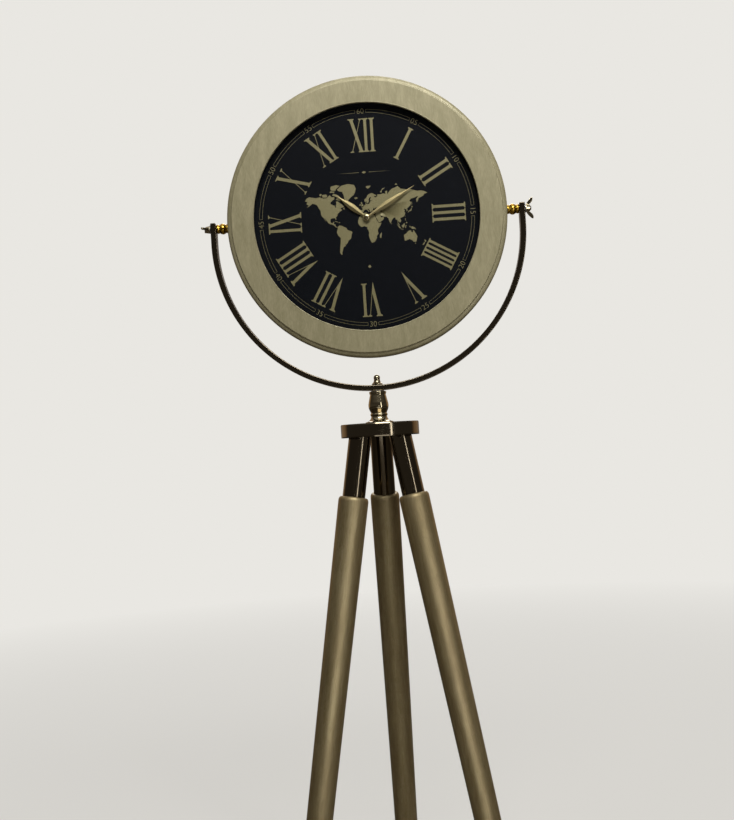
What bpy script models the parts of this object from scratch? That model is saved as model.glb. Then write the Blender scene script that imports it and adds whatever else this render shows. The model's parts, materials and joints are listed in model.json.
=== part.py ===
"""Tripod floor clock: a round wooden wall-style clock held in a steel yoke on a three-legged stand.

Units are metres and +Z is up. The origin is on the floor, in the middle of the object's outline, and the
dial faces -Y. Pieces of the clock head are modelled in the face's own frame, an empty on the pivot axis
whose local X runs to the right, local Y up the dial and local Z out towards the viewer.
"""
import math

import bmesh
import bpy
from mathutils import Matrix

# Clearances and fineness
GAP = 0.0003
RUNNING_CLEARANCE = 0.00025
OVERRUN = 0.004
MERGE = 0.00005
RING_STEPS = 64
ROUND_STEPS = 24
TURNED_STEPS = 20
PLATE_STEPS = 44
PIVOT_STEPS = 18
SMALL_STEPS = 12
SCREW_STEPS = 8
SMALL_TURN = math.pi / SMALL_STEPS
SCREW_TURN = math.pi / SCREW_STEPS

# Stand
PLATE_TOP_HEIGHT = 0.980
PLATE_RADIUS = 0.070
PLATE_THICKNESS = 0.024
PLATE_CHAMFER = 0.0025
LEG_SPLAY = 10.7
LEG_AZIMUTHS = {"right": -30.0, "left": 210.0, "rear": 90.0}
LEG_INSET = 0.029
SLEEVE_LENGTH = 0.106
SLEEVE_RADIUS = 0.0200
SLEEVE_WALL = 0.0015
LEG_TOP_RADIUS = 0.0266
LEG_FOOT_RADIUS = 0.0202
LEG_RIM_HEIGHT = 0.0075
LEG_RIM_WIDTH = 0.0045
LEG_ROD_RADIUS = 0.005
LEG_ROD_IN_PLATE = 0.015
LEG_ROD_IN_WOOD = 0.040
FOOT_PAD_RADIUS = 0.0185
FOOT_PAD_HEIGHT = 0.008
FOOT_PAD_ROUNDING = 0.002

# Stem between the plate and the yoke
STEM_HEIGHT = 0.0560
STEM_COLLAR_RADIUS = 0.0153
STEM_BULGE_RADIUS = 0.0180
STEM_SHOULDER_RADIUS = 0.0166
STEM_NECK_RADIUS = 0.0143
STEM_FOOT_RADIUS = 0.0250
STEM_ROD_RADIUS = 0.005
STEM_NUT_RADIUS = 0.0085
STEM_NUT_HEIGHT = 0.006
STEM_WASHER_RADIUS = 0.0105
STEM_WASHER_THICKNESS = 0.0016
SWIVEL_WASHER_RADIUS = 0.0120
SWIVEL_WASHER_THICKNESS = 0.0010
FINIAL_HEIGHT = 0.0184
FINIAL_BALL_RADIUS = 0.0058
FINIAL_BASE_RADIUS = 0.0097
FINIAL_SOCKET_DEPTH = 0.010

# Yoke
YOKE_ROOM = 0.023
YOKE_BAR_THICKNESS = 0.010
YOKE_BAR_DEPTH = 0.020
YOKE_CHAMFER = 0.0012
YOKE_ARC_STEPS = 40
PIVOT_ABOVE_ARC_CENTRE = 0.027
YOKE_END_ABOVE_PIVOT = 0.010

# Clock case
CLOCK_TILT = 3.0
CASE_RADIUS = 0.250
BEZEL_WIDTH = 0.049
BEZEL_DEPTH = 0.018
BEZEL_LIP = 0.0045
BEZEL_EDGE_ROUNDING = 0.010
BEZEL_OPENING_ROUNDING = 0.0015
BODY_WIDTH = 0.052
BODY_DEPTH = 0.027
BODY_EDGE_ROUNDING = 0.003
GROOVE_WIDTH = 0.003
GROOVE_DEPTH = 0.003
GLASS_SEAT_WIDTH = 0.006
GLASS_THICKNESS = 0.003
DIAL_THICKNESS = 0.0015
DIAL_SPACER_WALL = 0.004
PANEL_INSET = 0.010
PANEL_THICKNESS = 0.0035
PANEL_OPENING_WIDTH = 0.110
PANEL_OPENING_HEIGHT = 0.090
PANEL_OPENING_ROUNDING = 0.010
PANEL_OPENING_RISE = -0.006

# Screws through the back panel and body ring into the bezel
CASE_SCREW_COUNT = 6
CASE_SCREW_FROM_RIM = 0.019
CASE_SCREW_RADIUS = 0.0020
CASE_SCREW_HEAD_RADIUS = 0.0042
CASE_SCREW_HEAD_HEIGHT = 0.0020
CASE_SCREW_IN_BEZEL = 0.009

# Side pivots
STUD_RADIUS = 0.004
INSERT_RADIUS = 0.006
INSERT_LENGTH = 0.024
SPACER_COLLAR_RADIUS = 0.0078
SPACER_BEAD_RADIUS = 0.0098
PIVOT_WASHER_RADIUS = 0.0085
PIVOT_WASHER_THICKNESS = 0.0012
WING_HUB_RADIUS = 0.0070
WING_HUB_LENGTH = 0.0080
WING_SPAN = 0.038
WING_RISE = 0.0135
WING_THICKNESS = 0.0032
WING_EDGE = 0.0006
STUD_BEYOND_HUB = 0.002

# Clock movement
MOVEMENT_WIDTH = 0.056
MOVEMENT_ABOVE_SHAFT = 0.022
MOVEMENT_BELOW_SHAFT = 0.034
MOVEMENT_DEPTH = 0.016
MOVEMENT_WALL = 0.0015
MOVEMENT_ROUNDING = 0.003
BAY_HEIGHT = 0.0157
BAY_WALL = 0.0012
COVER_THICKNESS = 0.0015
MOUNT_WASHER_RADIUS = 0.010
MOUNT_WASHER_THICKNESS = 0.001
BUSH_RADIUS = 0.004
BUSH_BORE_RADIUS = 0.0028
BUSH_BEYOND_DIAL = 0.0030
MOUNT_NUT_RADIUS = 0.0068
MOUNT_NUT_HEIGHT = 0.0020
BATTERY_RADIUS = 0.0069
BATTERY_LENGTH = 0.0505
BATTERY_CAP_RADIUS = 0.0027
BATTERY_CAP_LENGTH = 0.0012
CONTACT_SIZE = 0.009
CONTACT_THICKNESS = 0.0004

# Motion work: the cannon pinion turns the reverse wheel, whose pinion turns the hour wheel
CANNON_TEETH = 12
REVERSE_TEETH = 36
REVERSE_PINION_TEETH = 10
HOUR_TEETH = 40
REVERSE_DISTANCE = 0.012
REVERSE_DIRECTION = 150.0
WHEEL_THICKNESS = 0.0012
PINION_THICKNESS = 0.0016
WHEEL_SPACING = 0.0010
HOUR_PIPE_RADIUS = 0.0025
MINUTE_ARBOR_RADIUS = 0.0016
REVERSE_ARBOR_RADIUS = 0.0012
KNOB_RADIUS = 0.006
KNOB_HEIGHT = 0.0045
KNOB_GRIPS = 12
KNOB_GRIP_DEPTH = 0.0006

# Drive parts in the movement
COIL_RADIUS = 0.0042
COIL_LENGTH = 0.022
BOBBIN_FLANGE_RADIUS = 0.0046
BOBBIN_FLANGE_THICKNESS = 0.001
COIL_OFFSET = 0.0195
STATOR_LENGTH = 0.026
STATOR_WIDTH = 0.008
STATOR_THICKNESS = 0.0008
ROTOR_HOLE_RADIUS = 0.0026
BOARD_WIDTH = 0.020
BOARD_HEIGHT = 0.012
BOARD_THICKNESS = 0.001
CRYSTAL_RADIUS = 0.001
CRYSTAL_LENGTH = 0.006

# Hands
HOUR_HAND_LENGTH = 0.070
MINUTE_HAND_LENGTH = 0.103
HAND_WIDTH = 0.010
HAND_TAIL_RADIUS = 0.0058
HAND_THICKNESS = 0.0007
HOUR_HAND_RISE = 0.0033
MINUTE_HAND_RISE = 0.0050
HAND_CAP_RADIUS = 0.0050
HAND_CAP_HEIGHT = 0.0021
SHOWN_HOUR = 10
SHOWN_MINUTE = 10
HOUR_HAND_SLIP = 4.0

# Finishes: base colour, metallic, roughness
FINISHES = {
    "champagne_wood": ((0.42, 0.36, 0.23), 0.15, 0.50),
    "champagne_leg": ((0.40, 0.31, 0.19), 0.30, 0.38),
    "black_nickel": ((0.10, 0.085, 0.07), 1.00, 0.15),
    "polished_nickel": ((0.52, 0.48, 0.40), 1.00, 0.12),
    "brass": ((0.62, 0.46, 0.16), 1.00, 0.20),
    "zinc_steel": ((0.55, 0.55, 0.56), 1.00, 0.35),
    "old_gold": ((0.45, 0.40, 0.22), 0.90, 0.30),
    "dial_print": ((0.006, 0.008, 0.012), 0.00, 0.45),
    "black_plastic": ((0.02, 0.02, 0.02), 0.00, 0.45),
    "white_plastic": ((0.75, 0.75, 0.72), 0.00, 0.40),
    "board": ((0.30, 0.20, 0.08), 0.00, 0.50),
    "copper": ((0.62, 0.25, 0.12), 1.00, 0.35),
    "clear_glass": ((0.90, 0.95, 0.95), 0.00, 0.05),
    "hardboard": ((0.20, 0.12, 0.06), 0.00, 0.80),
    "rubber": ((0.02, 0.02, 0.02), 0.00, 0.80),
    "battery_wrap": ((0.05, 0.10, 0.20), 0.10, 0.40),
}

# Radii that follow the case
BEZEL_OPENING_RADIUS = CASE_RADIUS - BEZEL_WIDTH
BODY_INNER_RADIUS = CASE_RADIUS - BODY_WIDTH
GLASS_RADIUS = BEZEL_OPENING_RADIUS + GLASS_SEAT_WIDTH
PANEL_RADIUS = CASE_RADIUS - PANEL_INSET
CASE_SCREW_CIRCLE = CASE_RADIUS - CASE_SCREW_FROM_RIM
YOKE_INNER_RADIUS = CASE_RADIUS + YOKE_ROOM

# Heights and places worked out from the sizes above
HIP_RADIUS = PLATE_RADIUS - LEG_INSET
PLATE_BOTTOM_HEIGHT = PLATE_TOP_HEIGHT - PLATE_THICKNESS
SPLAY = math.radians(LEG_SPLAY)
FOOT_CIRCLE = HIP_RADIUS + (PLATE_BOTTOM_HEIGHT - FOOT_PAD_HEIGHT) * math.tan(SPLAY)
STAND_Y = -FOOT_CIRCLE / 4
STEM_TOP_HEIGHT = PLATE_TOP_HEIGHT + GAP + STEM_HEIGHT
YOKE_BOTTOM_HEIGHT = STEM_TOP_HEIGHT + SWIVEL_WASHER_THICKNESS + 2 * GAP
YOKE_OUTER_RADIUS = YOKE_INNER_RADIUS + YOKE_BAR_THICKNESS
ARC_CENTRE_HEIGHT = YOKE_BOTTOM_HEIGHT + YOKE_OUTER_RADIUS
PIVOT_HEIGHT = ARC_CENTRE_HEIGHT + PIVOT_ABOVE_ARC_CENTRE
LEG_LENGTH = PLATE_BOTTOM_HEIGHT / math.cos(SPLAY)

# Depths in the face's frame, from the pivot axis towards the viewer
JOINT_Z = BODY_DEPTH / 2
BODY_BACK_Z = -BODY_DEPTH / 2
BEZEL_FRONT_Z = JOINT_Z + BEZEL_DEPTH
GLASS_FRONT_Z = BEZEL_FRONT_Z - BEZEL_LIP - GAP
GLASS_BACK_Z = GLASS_FRONT_Z - GLASS_THICKNESS
DIAL_BACK_Z = JOINT_Z + GAP
DIAL_FRONT_Z = DIAL_BACK_Z + DIAL_THICKNESS
PANEL_FRONT_Z = BODY_BACK_Z + PANEL_THICKNESS
MOVEMENT_FRONT_Z = DIAL_BACK_Z - MOUNT_WASHER_THICKNESS - 2 * GAP
MOVEMENT_BACK_Z = MOVEMENT_FRONT_Z - MOVEMENT_DEPTH
CAVITY_FRONT_Z = MOVEMENT_FRONT_Z - MOVEMENT_WALL
COVER_FRONT_Z = MOVEMENT_BACK_Z + COVER_THICKNESS
BAY_TOP_Y = -MOVEMENT_BELOW_SHAFT + MOVEMENT_WALL + BAY_HEIGHT
CAVITY_BOTTOM_Y = BAY_TOP_Y + BAY_WALL
CAVITY_TOP_Y = MOVEMENT_ABOVE_SHAFT - MOVEMENT_WALL
CAVITY_HALF_WIDTH = MOVEMENT_WIDTH / 2 - MOVEMENT_WALL
HOUR_WHEEL_Z = CAVITY_FRONT_Z - WHEEL_SPACING
CANNON_Z = HOUR_WHEEL_Z - WHEEL_THICKNESS - WHEEL_SPACING
HOUR_HAND_Z = DIAL_FRONT_Z + HOUR_HAND_RISE
MINUTE_HAND_Z = DIAL_FRONT_Z + MINUTE_HAND_RISE

materials = {}
frames = {}
parts = None
cutters = None


def clear_scene():
    for old in list(bpy.data.objects):
        bpy.data.objects.remove(old, do_unlink=True)


def make_collections():
    global parts, cutters
    parts = bpy.data.collections.new("floor_clock")
    cutters = bpy.data.collections.new("cutters")
    bpy.context.scene.collection.children.link(parts)
    bpy.context.scene.collection.children.link(cutters)


def finish(name):
    """The Principled material of that name, made once."""
    if name not in materials:
        colour, metallic, roughness = FINISHES[name]
        made = bpy.data.materials.new(name)
        made.use_nodes = True
        shader = made.node_tree.nodes["Principled BSDF"]
        shader.inputs["Base Color"].default_value = (*colour, 1)
        shader.inputs["Metallic"].default_value = metallic
        shader.inputs["Roughness"].default_value = roughness
        materials[name] = made
    return materials[name]


def make_frame(name, location, rotation=(0, 0, 0)):
    """An empty that carries the pieces modelled in its own axes."""
    empty = bpy.data.objects.new(name, None)
    empty.location = location
    empty.rotation_euler = rotation
    parts.objects.link(empty)
    frames[name] = empty
    return empty


def place(piece, frame, location=(0, 0, 0), rotation=(0, 0, 0), look=None, collection=None):
    (collection or parts).objects.link(piece)
    piece.parent = frames.get(frame)
    piece.location = location
    piece.rotation_euler = rotation
    if look:
        piece.data.materials.append(finish(look))
    return piece


def turned(name, profile, look=None, frame=None, steps=ROUND_STEPS, closed=False, **where):
    """A solid of revolution about local Z. The profile is (radius, height) pairs, outer side downwards."""
    mesh = bpy.data.meshes.new(name)
    count = len(profile)
    edges = [(i, i + 1) for i in range(count - 1)]
    if closed:
        edges.append((count - 1, 0))
    mesh.from_pydata([(radius, 0, height) for radius, height in profile], edges, [])
    piece = place(bpy.data.objects.new(name, mesh), frame, look=look, **where)
    screw = piece.modifiers.new("turn", "SCREW")
    screw.axis = "Z"
    screw.steps = steps
    screw.render_steps = steps
    screw.use_merge_vertices = True
    screw.merge_threshold = MERGE
    screw.use_smooth_shade = True
    return piece


def ring_profile(outer, inner, top, bottom):
    return [(outer, top), (outer, bottom), (inner, bottom), (inner, top)]


def ring(name, outer, inner, top, bottom, look=None, frame=None, **more):
    return turned(name, ring_profile(outer, inner, top, bottom), look, frame, closed=True, **more)


def disc(name, radius, top, bottom, look=None, frame=None, **more):
    return turned(name, [(0, top), (radius, top), (radius, bottom), (0, bottom)], look, frame, **more)


def quarter(centre_radius, centre_height, radius, start, end, steps=4):
    """Points on an arc of a profile, from one angle to another in degrees."""
    angles = [math.radians(start + (end - start) * i / steps) for i in range(steps + 1)]
    return [(centre_radius + radius * math.cos(a), centre_height + radius * math.sin(a)) for a in angles]


def outline(name, points, front, back, look=None, frame=None, bevel=0.0, holes=(), **where):
    """A flat outline in local XY with any holes: a filled 2D curve made a mesh from z=back to z=front."""
    curve = bpy.data.curves.new(name, "CURVE")
    curve.dimensions = "2D"
    curve.fill_mode = "BOTH"
    curve.extrude = (front - back) / 2 - bevel
    curve.bevel_depth = bevel
    curve.bevel_resolution = 0
    curve.offset = -bevel
    for loop in (points, *holes):
        spline = curve.splines.new("POLY")
        spline.points.add(len(loop) - 1)
        for place_on_curve, (x, y) in zip(spline.points, loop):
            place_on_curve.co = (x, y, 0, 1)
        spline.use_cyclic_u = True
    draft = bpy.data.objects.new(name + "_curve", curve)
    bpy.context.scene.collection.objects.link(draft)
    mesh = bpy.data.meshes.new_from_object(draft.evaluated_get(bpy.context.evaluated_depsgraph_get()))
    bpy.data.objects.remove(draft, do_unlink=True)
    mesh.materials.clear()
    shape = bmesh.new()
    shape.from_mesh(mesh)
    bmesh.ops.remove_doubles(shape, verts=shape.verts, dist=MERGE)
    bmesh.ops.translate(shape, verts=shape.verts, vec=(0, 0, (front + back) / 2))
    shape.to_mesh(mesh)
    shape.free()
    mesh.name = name
    return place(bpy.data.objects.new(name, mesh), frame, look=look, **where)


def block(name, size, centre, look=None, frame=None, **where):
    """A box of that size, centred in its own mesh at that place."""
    mesh = bpy.data.meshes.new(name)
    shape = bmesh.new()
    bmesh.ops.create_cube(shape, size=1)
    bmesh.ops.scale(shape, vec=size, verts=shape.verts)
    bmesh.ops.translate(shape, vec=centre, verts=shape.verts)
    shape.to_mesh(mesh)
    shape.free()
    return place(bpy.data.objects.new(name, mesh), frame, look=look, **where)


def rounded_box(half_width, bottom, top, rounding, corner_steps=3):
    """Corners of an upright rectangle with round corners, anticlockwise."""
    points = []
    corners = [(half_width, top, 0), (-half_width, top, 90),
               (-half_width, bottom, 180), (half_width, bottom, 270)]
    for x, y, start in corners:
        centre_x = x - math.copysign(rounding, x)
        centre_y = y - rounding if y == top else y + rounding
        points += quarter(centre_x, centre_y, rounding, start, start + 90, corner_steps)
    return points


def circle_points(radius, count):
    angles = [2 * math.pi * i / count for i in range(count)]
    return [(radius * math.cos(a), radius * math.sin(a)) for a in angles]


def as_cutter(piece):
    piece.hide_render = True
    piece.display_type = "WIRE"
    for owner in list(piece.users_collection):
        owner.objects.unlink(piece)
    cutters.objects.link(piece)
    return piece


def boolean(piece, other, operation="DIFFERENCE"):
    cut = piece.modifiers.new(other.name, "BOOLEAN")
    cut.operation = operation
    cut.solver = "EXACT"
    cut.object = other
    return piece


def gang_cutter(pieces, name):
    """One cutter, in world places, made of several separate closed shapes, which are removed."""
    graph = bpy.context.evaluated_depsgraph_get()
    graph.update()
    joined = bmesh.new()
    for piece in pieces:
        mesh = bpy.data.meshes.new_from_object(piece.evaluated_get(graph))
        mesh.transform(piece.matrix_world)
        joined.from_mesh(mesh)
        bpy.data.meshes.remove(mesh)
    mesh = bpy.data.meshes.new(name)
    joined.to_mesh(mesh)
    joined.free()
    for piece in pieces:
        bpy.data.objects.remove(piece, do_unlink=True)
    whole = bpy.data.objects.new(name, mesh)
    parts.objects.link(whole)
    return as_cutter(whole)


def gear_points(teeth, pitch_radius, phase=0.0):
    """Outline of a small brass wheel: flat-topped teeth with slanting sides and wide gaps."""
    tip_share, root_share = 0.38, 0.62
    half_tip_share, half_root_share = 0.11, 0.22
    module = 2 * pitch_radius / teeth
    tip = pitch_radius + tip_share * 2 * module
    root = pitch_radius - root_share * 2 * module
    pitch_angle = 2 * math.pi / teeth
    points = []
    for index in range(teeth):
        middle = math.radians(phase) + index * pitch_angle
        for radius, share in ((root, -half_root_share), (tip, -half_tip_share),
                              (tip, half_tip_share), (root, half_root_share)):
            angle = middle + share * pitch_angle
            points.append((radius * math.cos(angle), radius * math.sin(angle)))
    return points


def make_frames():
    make_frame("stand", (0, STAND_Y, 0))
    make_frame("yoke", (0, STAND_Y, PIVOT_HEIGHT))
    make_frame("face", (0, STAND_Y, PIVOT_HEIGHT), (math.radians(90 + CLOCK_TILT), 0, 0))
    for side, azimuth in LEG_AZIMUTHS.items():
        turn = math.radians(azimuth)
        hip = (HIP_RADIUS * math.cos(turn), STAND_Y + HIP_RADIUS * math.sin(turn), PLATE_BOTTOM_HEIGHT)
        make_frame("hip_" + side, hip, (0, -SPLAY, turn))
    for side, heading in (("right", 90), ("left", -90)):
        make_frame("pivot_" + side, (0, STAND_Y, PIVOT_HEIGHT), (0, math.radians(heading), 0))


def make_legs():
    """Three legs: a threaded rod from the plate, a metal sleeve over it and a turned wooden leg."""
    leg_top = -SLEEVE_LENGTH - GAP
    leg_end = -LEG_LENGTH
    rim = LEG_TOP_RADIUS - LEG_RIM_WIDTH
    socket = LEG_ROD_RADIUS + GAP
    floor_cut = block("floor_cut", (4 * FOOT_CIRCLE, 4 * FOOT_CIRCLE, LEG_LENGTH),
                      (0, STAND_Y, FOOT_PAD_HEIGHT + GAP - LEG_LENGTH / 2))
    plate_cut = block("plate_cut", (4 * PLATE_RADIUS, 4 * PLATE_RADIUS, LEG_LENGTH),
                      (0, STAND_Y, PLATE_BOTTOM_HEIGHT - GAP + LEG_LENGTH / 2))
    as_cutter(floor_cut)
    as_cutter(plate_cut)
    for side, azimuth in LEG_AZIMUTHS.items():
        hip = "hip_" + side
        rim_steps = [(rim + LEG_RIM_WIDTH * math.sin(a), leg_top - LEG_RIM_HEIGHT * (1 - math.cos(a)))
                     for a in [math.radians(step) for step in (0, 30, 60, 90)]]
        profile = [(0, leg_top - LEG_ROD_IN_WOOD - GAP), (socket, leg_top - LEG_ROD_IN_WOOD - GAP),
                   (socket, leg_top)] + rim_steps + [(LEG_FOOT_RADIUS, leg_end), (0, leg_end)]
        leg = turned("wood_leg_" + side, profile, "champagne_leg", hip)
        boolean(leg, floor_cut)
        sleeve = ring("leg_sleeve_" + side, SLEEVE_RADIUS, SLEEVE_RADIUS - SLEEVE_WALL, SLEEVE_RADIUS,
                      -SLEEVE_LENGTH, "black_nickel", hip)
        boolean(sleeve, plate_cut)
        disc("leg_rod_" + side, LEG_ROD_RADIUS, LEG_ROD_IN_PLATE, leg_top - LEG_ROD_IN_WOOD, "zinc_steel",
             hip, steps=SMALL_STEPS)
        turn = math.radians(azimuth)
        pad = [(0, FOOT_PAD_HEIGHT), (FOOT_PAD_RADIUS - FOOT_PAD_ROUNDING, FOOT_PAD_HEIGHT),
               (FOOT_PAD_RADIUS, FOOT_PAD_HEIGHT - FOOT_PAD_ROUNDING), (FOOT_PAD_RADIUS, FOOT_PAD_ROUNDING),
               (FOOT_PAD_RADIUS - FOOT_PAD_ROUNDING, 0), (0, 0)]
        turned("foot_pad_" + side, pad, "rubber", "stand",
               location=(FOOT_CIRCLE * math.cos(turn), FOOT_CIRCLE * math.sin(turn), 0))


def make_plate():
    """The round head plate that the three legs and the stem are screwed to."""
    bore = STEM_ROD_RADIUS + GAP
    recess = STEM_WASHER_RADIUS + GAP
    recess_top = PLATE_BOTTOM_HEIGHT + STEM_NUT_HEIGHT + STEM_WASHER_THICKNESS + 2 * GAP
    top, bottom = PLATE_TOP_HEIGHT, PLATE_BOTTOM_HEIGHT
    profile = [(PLATE_RADIUS - PLATE_CHAMFER, top), (PLATE_RADIUS, top - PLATE_CHAMFER),
               (PLATE_RADIUS, bottom + PLATE_CHAMFER), (PLATE_RADIUS - PLATE_CHAMFER, bottom),
               (recess, bottom), (recess, recess_top), (bore, recess_top), (bore, top)]
    plate = turned("head_plate", profile, "black_nickel", "stand", steps=PLATE_STEPS, closed=True)
    sockets = [disc("rod_socket_" + side, LEG_ROD_RADIUS + GAP, LEG_ROD_IN_PLATE + GAP, -OVERRUN, None,
                    "hip_" + side, steps=SMALL_STEPS) for side in LEG_AZIMUTHS]
    boolean(plate, gang_cutter(sockets, "rod_sockets"))
    nut_top = recess_top - STEM_WASHER_THICKNESS - 2 * GAP
    ring("stem_washer", STEM_WASHER_RADIUS, bore, recess_top - GAP, recess_top - GAP - STEM_WASHER_THICKNESS,
         "zinc_steel", "stand")
    outline("stem_nut", circle_points(STEM_NUT_RADIUS, 6), nut_top, nut_top - STEM_NUT_HEIGHT, "zinc_steel",
            "stand", holes=[circle_points(bore, SMALL_STEPS)])


def make_stem():
    """The turned baluster that carries the yoke, with the rod that clamps it between nut and finial."""
    bore = STEM_ROD_RADIUS + GAP
    base = PLATE_TOP_HEIGHT + GAP
    skirt = (STEM_BULGE_RADIUS + STEM_FOOT_RADIUS) / 2
    height_shares = [(STEM_COLLAR_RADIUS, 1.00), (STEM_COLLAR_RADIUS, 0.95), (STEM_NECK_RADIUS, 0.92),
                     (STEM_COLLAR_RADIUS, 0.84), (STEM_SHOULDER_RADIUS, 0.71), (STEM_BULGE_RADIUS, 0.58),
                     (STEM_BULGE_RADIUS, 0.52), (STEM_COLLAR_RADIUS, 0.36), (STEM_NECK_RADIUS, 0.32),
                     (STEM_COLLAR_RADIUS, 0.28), (STEM_COLLAR_RADIUS, 0.24), (STEM_NECK_RADIUS, 0.19),
                     (STEM_COLLAR_RADIUS, 0.13), (STEM_BULGE_RADIUS, 0.08), (skirt, 0.04),
                     (STEM_FOOT_RADIUS, 0.02), (STEM_FOOT_RADIUS, 0.00)]
    profile = [(radius, base + share * STEM_HEIGHT) for radius, share in height_shares]
    turned("stem_column", profile + [(bore, base), (bore, base + STEM_HEIGHT)], "polished_nickel", "stand",
           closed=True)
    ring("swivel_washer", SWIVEL_WASHER_RADIUS, bore, STEM_TOP_HEIGHT + GAP + SWIVEL_WASHER_THICKNESS,
         STEM_TOP_HEIGHT + GAP, "zinc_steel", "stand", steps=TURNED_STEPS)
    yoke_seat = YOKE_BOTTOM_HEIGHT + YOKE_BAR_THICKNESS
    sag = YOKE_INNER_RADIUS - math.sqrt(YOKE_INNER_RADIUS ** 2 - FINIAL_BASE_RADIUS ** 2)
    foot = yoke_seat + sag + GAP
    neck = FINIAL_BASE_RADIUS - FINIAL_BALL_RADIUS
    ball_centre = foot + FINIAL_HEIGHT - FINIAL_BALL_RADIUS
    dome = quarter(0, ball_centre, FINIAL_BALL_RADIUS, 90, -20, 6)
    socket_top = foot + FINIAL_SOCKET_DEPTH
    profile = [(0.0, dome[0][1])] + dome[1:]
    cone_shares = [(0.1, 0.42), (0.4, 0.22), (1.0, 0.12), (1.0, 0.0)]
    profile += [(FINIAL_BALL_RADIUS + neck * out, foot + FINIAL_HEIGHT * up) for out, up in cone_shares]
    profile += [(bore, foot), (bore, socket_top), (0, socket_top)]
    turned("finial_nut", profile, "polished_nickel", "stand", steps=TURNED_STEPS)
    disc("stem_rod", STEM_ROD_RADIUS, socket_top - GAP, PLATE_BOTTOM_HEIGHT + GAP, "zinc_steel", "stand",
         steps=SMALL_STEPS)


def make_yoke():
    """A flat steel bar bent to a half circle, its ends run straight up to the pivots."""
    end = YOKE_END_ABOVE_PIVOT
    centre = -PIVOT_ABOVE_ARC_CENTRE
    outer = quarter(0, centre, YOKE_OUTER_RADIUS, 180, 360, YOKE_ARC_STEPS)
    inner = quarter(0, centre, YOKE_INNER_RADIUS, 360, 180, YOKE_ARC_STEPS)
    points = [(-YOKE_OUTER_RADIUS, end)] + outer + [(YOKE_OUTER_RADIUS, end), (YOKE_INNER_RADIUS, end)]
    points += inner + [(-YOKE_INNER_RADIUS, end)]
    half = YOKE_BAR_DEPTH / 2
    yoke = outline("yoke_bar", points, half, -half, "black_nickel", "yoke", bevel=YOKE_CHAMFER,
                   rotation=(math.radians(90), 0, 0))
    hole = STUD_RADIUS + GAP
    holes = [disc("pivot_hole_" + side, hole, YOKE_OUTER_RADIUS + OVERRUN, YOKE_INNER_RADIUS - OVERRUN, None,
                  "pivot_" + side, steps=SMALL_STEPS) for side in ("right", "left")]
    holes.append(disc("stem_hole", STEM_ROD_RADIUS + GAP, YOKE_BOTTOM_HEIGHT + YOKE_BAR_THICKNESS + OVERRUN,
                      YOKE_BOTTOM_HEIGHT - OVERRUN, None, "stand", steps=SMALL_STEPS))
    boolean(yoke, gang_cutter(holes, "yoke_holes"))


def on_circle(radius, count, index, start):
    angle = math.radians(start) + 2 * math.pi * index / count
    return (radius * math.cos(angle), radius * math.sin(angle), 0)


def make_case():
    """Bezel and body rings with the glass, dial and back panel that they hold."""
    joint = JOINT_Z + GAP
    rebate = GLASS_RADIUS + GAP
    opening = BEZEL_OPENING_RADIUS
    edge = BEZEL_EDGE_ROUNDING
    lip = BEZEL_OPENING_ROUNDING
    bezel_profile = quarter(CASE_RADIUS - edge, BEZEL_FRONT_Z - edge, edge, 90, 0)
    bezel_profile += [(CASE_RADIUS, joint), (rebate, joint), (rebate, BEZEL_FRONT_Z - BEZEL_LIP),
                      (opening, BEZEL_FRONT_Z - BEZEL_LIP), (opening, BEZEL_FRONT_Z - lip),
                      (opening + lip, BEZEL_FRONT_Z)]
    bezel = turned("bezel_ring", bezel_profile, "champagne_wood", "face", steps=RING_STEPS, closed=True)
    groove = CASE_RADIUS - GROOVE_DEPTH
    back_edge = BODY_EDGE_ROUNDING
    seat = PANEL_RADIUS + GAP
    body_profile = [(groove, JOINT_Z), (groove, JOINT_Z - GROOVE_WIDTH),
                    (CASE_RADIUS, JOINT_Z - GROOVE_WIDTH)]
    body_profile += quarter(CASE_RADIUS - back_edge, BODY_BACK_Z + back_edge, back_edge, 0, -90, 2)
    body_profile += [(seat, BODY_BACK_Z), (seat, PANEL_FRONT_Z + GAP),
                     (BODY_INNER_RADIUS, PANEL_FRONT_Z + GAP), (BODY_INNER_RADIUS, JOINT_Z)]
    body = turned("case_ring", body_profile, "champagne_wood", "face", steps=RING_STEPS, closed=True)
    disc("glass", GLASS_RADIUS, GLASS_FRONT_Z, GLASS_BACK_Z, "clear_glass", "face", steps=RING_STEPS)
    ring("dial_spacer", GLASS_RADIUS, GLASS_RADIUS - DIAL_SPACER_WALL, GLASS_BACK_Z - GAP,
         DIAL_FRONT_Z + GAP, "black_plastic", "face", steps=RING_STEPS)
    outline("dial", circle_points(GLASS_RADIUS, RING_STEPS), DIAL_FRONT_Z, DIAL_BACK_Z, "dial_print", "face",
            holes=[circle_points(BUSH_RADIUS + GAP, ROUND_STEPS)])
    panel = disc("back_panel", PANEL_RADIUS, PANEL_FRONT_Z, BODY_BACK_Z + GAP, "hardboard", "face",
                 steps=RING_STEPS)
    half_height = PANEL_OPENING_HEIGHT / 2
    opening_outline = rounded_box(PANEL_OPENING_WIDTH / 2, PANEL_OPENING_RISE - half_height,
                                  PANEL_OPENING_RISE + half_height, PANEL_OPENING_ROUNDING)
    window = outline("panel_opening", opening_outline, PANEL_FRONT_Z + OVERRUN, BODY_BACK_Z - OVERRUN,
                     None, "face")
    boolean(panel, as_cutter(window))
    make_case_screws(bezel, body, panel)
    insert_holes = [disc("insert_hole_" + side, INSERT_RADIUS + GAP, CASE_RADIUS + OVERRUN,
                         CASE_RADIUS - INSERT_LENGTH - 2 * GAP, None, "pivot_" + side, steps=SMALL_STEPS,
                         rotation=(0, 0, SMALL_TURN)) for side in ("right", "left")]
    boolean(body, gang_cutter(insert_holes, "insert_holes"))


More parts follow.
